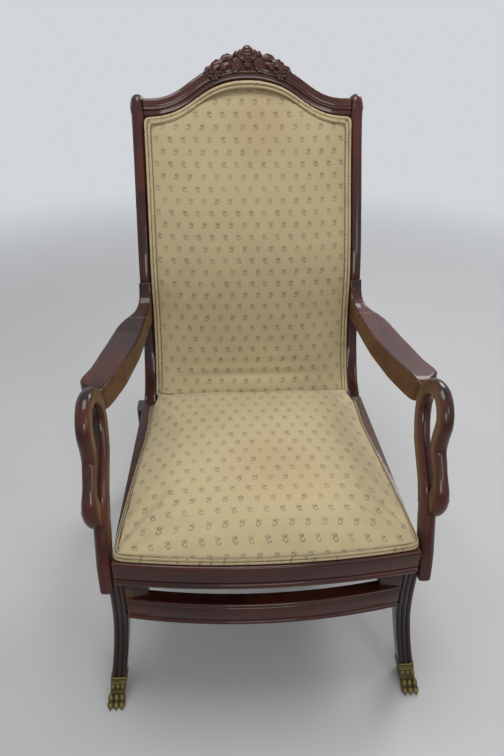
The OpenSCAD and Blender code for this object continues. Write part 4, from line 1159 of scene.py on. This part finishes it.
# The legs' lines, drawn forward of the base's front, and their inner face's splay, as on the frame
BASE_FRONT = -335 * MM
ROCK_Y = -49 * MM
LEG_INNER = 258 * MM
LEG_T = 29 * MM
LEG_D = 46 * MM
LEG_SWEEP = 64 * MM
LEG_KNEE = 200 * MM
LEG_H = 290 * MM
PAW_H = 51 * MM
LEG_FRONT_SHARES = ((0, 1), (0, 0.65), (0.31, 0.31), (1, 0))
LEG_REAR_SHARES = ((0, 1), (0.03, 0.65), (0.46, 0.31), (0.86, 0))
SPLAY = ((0, 290), (-1.5, 174), (11, 87), (24, 0))


class Legs(bpy.types.Operator):
    """Shapes the reeded legs and their brass paws"""

    bl_idname = "rocker.legs"
    bl_label = "Legs"

    reed = 2.6 * MM
    reeds = 3
    flute = 0.8 * MM
    drop = 24 * MM
    tenon = 5 * MM
    # The paw's core, collar and beads in mm: lower and upper end, growth, flutes and rows of faces
    collars = ((0, 43, 0.4, 0, 24), (40, 50, 1.5, 9, 14), (48.5, 51, 2.2, 0, 6), (39, 41.5, 1.9, 0, 6))
    # Each toe's swells in mm: height, how far ahead of the leg, half sizes, and spread
    toes = ((29, -4.4, (5.4, 6.2, 9.0), 1.0), (13, -1.5, (6.4, 9.5, 11.5), 1.1), (6, 2.5, (6.4, 9.5, 6.2), 1.16))

    def execute(self, context):
        self.front = self.by_height(LEG_FRONT_SHARES, (LEG_SWEEP, LEG_KNEE), 0)
        self.back = self.by_height(LEG_REAR_SHARES, (LEG_SWEEP - 0.04 * LEG_D, LEG_KNEE), -LEG_D)
        self.splay = self.by_height(SPLAY, (MM, MM), 0)
        # The legs' depth 0.85 is partly their darker wood and partly painted shade under the chair.
        wood = mahogany("mahogany_legs", "z", depth=0.85, shine=0.5)
        brass = aged_brass("aged_brass")
        for end in ("front", "rear"):
            for side in ("left", "right"):
                node = f"{end}_leg_{side}"
                add_piece(node + "_wood", self.turned(self.leg(), end, side), wood, "base", [node])
                node = f"{end}_paw_{side}"
                add_piece(node + "_brass", self.turned(self.paw(), end, side), brass, "base", [node])
        return {"FINISHED"}

    @staticmethod
    def turned(mesh, end, side):
        """A right front leg's shape at another corner."""
        sided(mesh, side)
        if end == "rear":
            for vert in mesh.verts:
                vert.co.y = 2 * ROCK_Y - vert.co.y
            bmesh.ops.reverse_faces(mesh, faces=mesh.faces)
        return mesh

    @staticmethod
    def by_height(shares, size, ahead):
        """A line of the leg as a table of its places by height."""
        return [(point.y, point.x) for point in reversed(curve(shares, size, (ahead, 0), 16))]

    def edges(self, z):
        """The leg's inner and outer side and its front and rear at a height."""
        inner = LEG_INNER + lookup(z, self.splay)
        return inner, inner + LEG_T, BASE_FRONT - lookup(z, self.front), BASE_FRONT - lookup(z, self.back)

    def ring(self, z, share, grow, fluted):
        """A point round the leg at a height: the front face first, reeded, then the side, rear and side."""
        x0, x1, y0, y1 = self.edges(z)
        x0, x1, y0, y1 = x0 - grow, x1 + grow, y0 - grow, y1 + grow
        if share < 0.5:
            a = share * 2
            dip = fluted * (1 - abs(math.sin(self.reeds * PI * a)) ** 0.75)
            round_off = 2.5 * MM * (abs(2 * a - 1) ** 8)
            return (x0 + (x1 - x0) * a, y0 + dip + round_off, z)
        a = (share - 0.5) * 2
        if a < 0.3:
            t = a / 0.3
            return (x1 - 1.2 * MM * abs(2 * t - 1) ** 6, y0 + 3 * MM + (y1 - y0 - 6 * MM) * t, z)
        if a < 0.7:
            t = (a - 0.3) / 0.4
            return (x1 - 2 * MM - (x1 - x0 - 4 * MM) * t, y1 - 1.5 * MM * abs(2 * t - 1) ** 4, z)
        t = (a - 0.7) / 0.3
        return (x0 + 1.2 * MM * abs(2 * t - 1) ** 6, y1 - 3 * MM - (y1 - y0 - 6 * MM) * t, z)

    def sloped(self, z, share, grow, fluted):
        """A point of a ring that drops towards the leg's rear, square to its sweep."""
        x, y, _ = self.ring(z, share, grow, fluted)
        _, _, y0, y1 = self.edges(z)
        deep = min(max((y - y0) / (y1 - y0), 0), 1)
        low = z - self.drop * deep * smooth_step(0.0, 0.045, z) * smooth_step(0.15, 0.06, z)
        x, y, _ = self.ring(max(low, 0), share, grow, fluted)
        return (x, y, max(low, 0))

    def leg(self):
        """The reeded leg, with a tenon down into its paw."""
        foot = PAW_H * 2 / 3

        def place(u, v):
            z = foot + (LEG_H - foot) * v
            if z < PAW_H - 1.5 * MM:
                return self.sloped(z, u, -self.tenon, 0.0)
            return self.sloped(z, u, 0.0, self.reed)

        return closed(surface(108, 110, place))

    def collar(self, low, high, grow, flutes, rows):
        """A stretch of the leg's outline, grown and with its ends eased, its front fluted where asked."""

        def place(u, v):
            z = MM * (low + (high - low) * v)
            x, y, z = self.sloped(z, u, MM * (grow - 0.9 * abs(2 * v - 1) ** 8), 0.0)
            return (x, y + self.flute * abs(math.sin(flutes * PI * u * 2)) * (u < 0.5), z)

        return closed(surface(120 if flutes else 60, rows, place))

    def paw(self):
        """The brass paw: core and collar, and three toes with their claws."""
        mesh = bmesh.new()
        for stretch in self.collars:
            add_into(mesh, self.collar(*stretch))
        for share in (-1 / 3, 0, 1 / 3):
            for z, ahead, half, spread in self.toes:
                x0, x1, y0, _ = self.edges(z * MM)
                at = ((x0 + x1) / 2 + (x1 - x0) * share * spread, y0 - ahead * MM, z * MM)
                add_into(mesh, ball(at, half))
            x0, x1, y0, _ = self.edges(4 * MM)
            claw = bmesh.new()
            bmesh.ops.create_cone(claw, cap_ends=True, segments=16, radius1=2.8 * MM, radius2=1.2 * MM, depth=5 * MM)
            bmesh.ops.rotate(claw, cent=(0, 0, 0), matrix=Matrix.Rotation(math.radians(105), 3, "X"), verts=claw.verts)
            at = ((x0 + x1) / 2 + (x1 - x0) * share * self.toes[-1][3], y0 - 11 * MM, 3.2 * MM)
            bmesh.ops.translate(claw, vec=at, verts=claw.verts)
            add_into(mesh, claw)
        return sawn(fused(mesh, 1.0 * MM, 2), (0, 0, 0), (0, 0, -1))


class Springs(bpy.types.Operator):
    """Gives the springs, brackets, bolts and screws their steel"""

    bl_idname = "rocker.springs"
    bl_label = "Springs and brackets"

    def execute(self, context):
        finish = spring_steel("spring_steel")
        for node in ("spring_pair_left", "spring_pair_right", "lower_bracket_bolts", "upper_bracket_bolts",
                     "goose_neck_screws"):
            refinish(node, finish)
        for side in ("left", "right"):
            for level, body in (("lower", "base"), ("upper", "chair")):
                node = f"{level}_spring_bracket_{side}"
                add_piece(node + "_steel", eased(cad_copy(node), 0.5 * MM, 2), finish, body, [node])
        return {"FINISHED"}


# The play round a cushion, and between the back cushion and its opening
GAP = 0.8 * MM
BACK_GAP = 0.4 * MM


def post_tables():
    """The posts' place from front to back, and the length along their front, each by height."""
    line = curve(POST_SHARES, (BACK_RUN, BACK_RISE), (POST_FOOT, SEAT_TOP), 20)
    length = 0.0
    lengths = [(line[0].y, 0.0)]
    for a, b in zip(line, line[1:]):
        length += (b - a).length
        lengths.append((b.y, length))
    return [(point.y, point.x) for point in line], lengths


def post_inner(z):
    """How far a post's inner face stands from the middle at a height."""
    share = min(max((z - SEAT_BOTTOM) / (BACK_RISE + SEAT_TOP - SEAT_BOTTOM), 0), 1)
    return 250 * MM - MM * share - 4 * MM * math.sin(PI * share) - POST_W


def back_top(x):
    """The height of the opening between the posts, under the crest rail."""
    return POST_LAST[1] + crest_low(x) * math.cos(LEAN) - BACK_GAP


def back_loop(inset, proud, low):
    """Points round the opening of the back, inset from its edge and proud of the posts' front line."""
    posts, _ = post_tables()
    count = 60
    corner_x = post_inner(POST_LAST[1]) - BACK_GAP - inset
    corner_z = back_top(corner_x) - inset
    loop = []
    for side in (1, -1):
        for i in range(count):
            share = i / count if side > 0 else 1 - i / count
            z = low + (corner_z - low) * share
            loop.append(Vector((side * (post_inner(z) - BACK_GAP - inset), lookup(z, posts) - proud, z)))
        if side > 0:
            for i in range(count * 2):
                x = corner_x * (1 - i / count)
                z = back_top(x) - inset
                loop.append(Vector((x, lookup(z, posts) - proud, z)))
    return loop


def resampled(loop, step):
    """Points at even steps round a closed loop."""
    lengths = [0.0]
    ring = loop + [loop[0]]
    for a, b in zip(ring, ring[1:]):
        lengths.append(lengths[-1] + (b - a).length)
    count = round(lengths[-1] / step)
    points = []
    index = 0
    for i in range(count):
        at = lengths[-1] * i / count
        while lengths[index + 1] < at:
            index += 1
        points.append(ring[index].lerp(ring[index + 1], (at - lengths[index]) / (lengths[index + 1] - lengths[index])))
    return points


def rounded(loop, passes):
    """A closed loop of points with its corners eased."""
    for _ in range(passes):
        loop = [(loop[i - 1] + loop[i] * 2 + loop[(i + 1) % len(loop)]) / 4 for i in range(len(loop))]
    return loop


def cord_ring(loop, radius, reference, sides=10):
    """A cord along a closed loop, its UV map in millimetres along and round it."""
    count = len(loop)
    step = sum((loop[(i + 1) % count] - loop[i]).length for i in range(count)) / count / MM

    def place(u, v):
        at = round(v * count)
        ahead = (loop[(at + 1) % count] - loop[(at - 1) % count]).normalized()
        first = (reference - ahead * reference.dot(ahead)).normalized()
        second = ahead.cross(first)
        turn = 2 * PI * u
        return loop[at % count] + (first * math.cos(turn) + second * math.sin(turn)) * radius

    return closed(surface(sides, count, place, lambda u, v: (v * count * step, u * 2 * PI * radius / MM)))


class Cushions(bpy.types.Operator):
    """Fills the seat and back cushions, and sews a double welt round each"""

    bl_idname = "rocker.cushions"
    bl_label = "Cushions"

    voxel = 5.4 * MM
    pressure = 4.0
    frames = 20
    middle = Vector((0, -150 * MM))

    def execute(self, context):
        self.posts, self.lengths = post_tables()
        cloth = sprigged_cloth("sprigged_cloth", stains=((0.03, -0.20, 0.44), (0.02, 0.33, 0.93)))
        welt = welt_cloth("welt_cloth")
        thread = stitching("stitching")
        for node, shape, held, where, rings in (
                ("seat_cushion", self.seat_shape, self.seat_held, self.seat_uv, self.seat_rings),
                ("back_cushion", self.back_shape, self.back_held, self.back_uv, self.back_rings)):
            mesh = self.plumped(context, shape(), held)
            map_cloth(mesh, where)
            pad = add_piece(node + "_cloth", mesh, cloth, "chair", [node])
            cords, threads = rings()
            add_piece(node + "_welt", cords, welt, "chair")
            add_piece(node + "_stitching", threads, thread, "chair")
        return {"FINISHED"}

    def seat_shape(self):
        """The seat cushion's solid, drawn in towards its welt and down at its front."""
        mesh = fused(cad_copy("seat_cushion", 0.1), self.voxel, 2)
        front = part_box("seat_cushion")[0].y
        for vert in mesh.verts:
            under = smooth_step(PAD_LOW + 21 * MM, PAD_LOW + 11 * MM, vert.co.z)
            pull = (3.0 + 5.0 * under) * MM
            vert.co.x *= 1 - pull / SEAT_HALF
            bow = front + SEAT_BOW * (vert.co.x / SEAT_HALF) ** 2
            near = smooth_step(bow + 70 * MM, bow, vert.co.y)
            vert.co.y += pull * near
            vert.co.z -= (1.5 + 3.0 * near) * MM * smooth_step(PAD_LOW + 11 * MM, PAD_LOW + 20 * MM, vert.co.z)
            vert.co = self.spread(vert.co)
        return mesh

    @staticmethod
    def spread(co):
        """The seat cushion's rear corners reach over the rails and swell beside the back."""
        rear = smooth_step(-70 * MM, 50 * MM, co.y)
        high = smooth_step(PAD_LOW + 8 * MM, PAD_LOW + 20 * MM, co.z) * (co.x / SEAT_HALF) ** 2
        return Vector((co.x * (1 + 0.036 * rear), co.y, co.z + 9 * MM * rear * high))

    @staticmethod
    def seat_held(co):
        return co.z < PAD_LOW + 13 * MM

    @staticmethod
    def seat_uv(co):
        rim = PAD_LOW + 20 * MM
        return (co.x / MM, (co.y - max(rim - co.z, 0)) / MM)

    def seat_rings(self):
        """The two cords round the seat cushion, and the stitching beside them."""
        outline = self.outline()
        radius = sizes().welt_r
        cords, threads = bmesh.new(), bmesh.new()
        for high, inset, thick, into in ((0.2, 1.6, radius, cords), (6.6, 3.2, radius, cords),
                                         (3.9, 0.6, 0.7 * MM, threads), (10.6, 3.6, 1.1 * MM, threads)):
            loop = []
            for x, y in outline:
                away = Vector((x, y)) - self.middle
                at = self.middle + away * (1 - inset * MM / away.length)
                loop.append(self.spread(Vector((at.x, at.y, SEAT_TOP + 3.4 * MM + high * MM))))
            loop = rounded(resampled(loop, 3 * MM), 22)
            add_into(into, cord_ring(loop, thick, Vector((0, 0, 1)), 12 if into is cords else 6))
        return cords, threads

    def outline(self):
        """The seat cushion's edge, as on the frame: across and from front to back."""
        rear = post_inner(SEAT_TOP + 20 * MM) - 4 * GAP
        front = SEAT_HALF - 2 * GAP
        start = SEAT_FRONT + GAP
        back = POST_FOOT - 14 * MM - 5 * MM
        bow_r = (SEAT_HALF ** 2 + SEAT_BOW ** 2) / (2 * SEAT_BOW)

        def point(u, v):
            half = front + (rear - front) * ((v + 1) / 2) ** 1.5
            x = u * half * (1 - 0.012 * (1 - v * v))
            bow = (bow_r - SEAT_BOW) - math.sqrt(bow_r ** 2 - x * x)
            return (x, start + (back - start) * (v + 1) / 2 + bow * (1 - v) / 2)

        count = 40
        steps = [2 * i / count - 1 for i in range(count)]
        return ([point(t, -1) for t in steps] + [point(1, t) for t in steps]
                + [point(-t, 1) for t in steps] + [point(-1, -t) for t in steps])

    def back_shape(self):
        """The back cushion's solid, drawn in between the posts."""
        mesh = fused(cad_copy("back_cushion", 0.1), self.voxel, 2)
        for vert in mesh.verts:
            proud = self.proud(vert.co)
            under = smooth_step(20 * MM, 11 * MM, proud)
            pull = (1.5 + 1.5 * under) * MM
            foot = 3 * MM * smooth_step(PAD_LOW + 60 * MM, PAD_LOW + 10 * MM, vert.co.z)
            vert.co.x *= 1 - (pull - foot) / post_inner(vert.co.z)
            top = back_top(vert.co.x)
            vert.co.z += MM * smooth_step(top - 40 * MM, top, vert.co.z)
            vert.co.y += 2 * MM * smooth_step(8 * MM, 20 * MM, proud)
        return mesh

    def proud(self, co):
        """How far a point stands before the posts' front line."""
        return lookup(co.z, self.posts) - co.y

    def back_held(self, co):
        edge = post_inner(co.z) - abs(co.x)
        near = min(edge, back_top(co.x) - co.z)
        return self.proud(co) < 6 * MM or near < 9 * MM

    def back_uv(self, co):
        over = max(co.z - POST_LAST[1], 0) / math.cos(LEAN)
        return (co.x / MM, (lookup(co.z, self.lengths) + over) / MM)

    def back_rings(self):
        """The two cords round the back cushion, and the stitching beside them."""
        radius = sizes().welt_r
        cords, threads = bmesh.new(), bmesh.new()
        for inset, proud, thick, into in ((3.6, 11.5, radius, cords), (10.3, 14.8, radius, cords),
                                          (7.0, 16.2, 0.9 * MM, threads), (14.1, 17.6, 0.8 * MM, threads)):
            loop = back_loop(inset * MM, proud * MM, PAD_LOW + 4 * MM)
            loop = rounded(resampled(loop, 3 * MM), 10)
            add_into(into, cord_ring(loop, thick, Vector((0, -1, 0.3)), 12 if into is cords else 6))
        return cords, threads

    def plumped(self, context, mesh, held):
        """The shape blown up like a pad by a cloth pass, no point moving further than the swell."""
        start = [vert.co.copy() for vert in mesh.verts]
        made = mesh_object(mesh)
        group = made.vertex_groups.new(name="held")
        group.add([index for index, co in enumerate(start) if held(co)], 1.0, "REPLACE")
        modifier = made.modifiers.new("Fill", "CLOTH")
        fabric = modifier.settings
        fabric.quality = 6
        fabric.use_pressure = True
        fabric.uniform_pressure_force = self.pressure
        fabric.effector_weights.gravity = 0
        fabric.vertex_group_mass = "held"
        fabric.tension_stiffness = 12
        fabric.compression_stiffness = 12
        fabric.bending_stiffness = 2
        modifier.collision_settings.use_collision = False
        modifier.point_cache.frame_start = 1
        modifier.point_cache.frame_end = self.frames
        for frame_number in range(1, self.frames + 1):
            context.scene.frame_set(frame_number)
        grown = settled(made)
        context.scene.frame_set(1)
        most = sizes().swell
        for vert, old in zip(grown.verts, start):
            move = vert.co - old
            if move.length > most:
                vert.co = old + move * (most / move.length)
            pucker = noise.noise(old * 38.0) * 0.7 + noise.noise(old * 90.0) * 0.25
            vert.co += vert.normal * (pucker * MM)
        fine = mesh_object(smoothed(grown, 2))
        finer = fine.modifiers.new("Finer", "SUBSURF")
        finer.levels = finer.render_levels = 1
        return settled(fine)


class Webbing(bpy.types.Operator):
    """Finishes the webbing, the dust cover and the panel behind the back"""

    bl_idname = "rocker.webbing"
    bl_label = "Webbing and covers"

    def execute(self, context):
        web = jute_web("jute_webbing")
        refinish("seat_webbing", web)
        refinish("back_webbing", web)
        refinish("seat_dust_cover", black_cambric("black_cambric"))
        cloth = sprigged_cloth("plain_back_cloth", 0.0)
        panel = cad_copy("back_panel")
        low = min(vert.co.z for vert in panel.verts)
        for vert in panel.verts:
            if vert.co.z < low + 3 * MM:
                vert.co.z -= 14 * MM
                vert.co.y -= 3 * MM
        shape = BVHTree.FromBMesh(panel)
        loop = []
        for point in rounded(resampled(back_loop(5 * MM, -60 * MM, low - 7 * MM), 3 * MM), 6):
            hit = shape.ray_cast(point + Vector((0, 200 * MM, 0)), Vector((0, -1, 0)))[0]
            if hit:
                loop.append(hit)
        add_piece("back_panel_cloth", panel, cloth, "chair", ["back_panel"])
        add_piece("back_panel_piping", cord_ring(loop, 2.6 * MM, Vector((0, 1, -0.3)), 12), cloth, "chair")
        return {"FINISHED"}


class RockerPanel(bpy.types.Panel):
    """Lists the steps that build the rocker"""

    bl_idname = "VIEW3D_PT_rocker"
    bl_label = "Platform rocker"
    bl_space_type = "VIEW_3D"
    bl_region_type = "UI"
    bl_category = "Rocker"

    def draw(self, context):
        for step in STEPS:
            self.layout.operator(step.bl_idname)
        for group in (context.scene.rocker_sizes, context.scene.rocker_colours, context.scene.rocker_camera):
            box = self.layout.box()
            for key in group.bl_rna.properties.keys():
                if key not in ("rna_type", "name"):
                    box.prop(group, key)


GROUPS = {"rocker_sizes": RockerSizes, "rocker_colours": RockerColours, "rocker_camera": RockerCamera}
STEPS = (Stage, Joinery, Posts, Arms, GooseNecks, Crest, Legs, Springs, Cushions, Webbing)


def register():
    for kind in (*GROUPS.values(), *STEPS, RockerPanel):
        bpy.utils.register_class(kind)
    for name, kind in GROUPS.items():
        setattr(bpy.types.Scene, name, PointerProperty(type=kind))


def unregister():
    for name in GROUPS:
        delattr(bpy.types.Scene, name)
    for kind in (RockerPanel, *reversed(STEPS), *reversed(tuple(GROUPS.values()))):
        bpy.utils.unregister_class(kind)


def main():
    register()
    for step in STEPS:
        family, call = step.bl_idname.split(".")
        getattr(getattr(bpy.ops, family), call)()


if __name__ == "__main__":
    main()
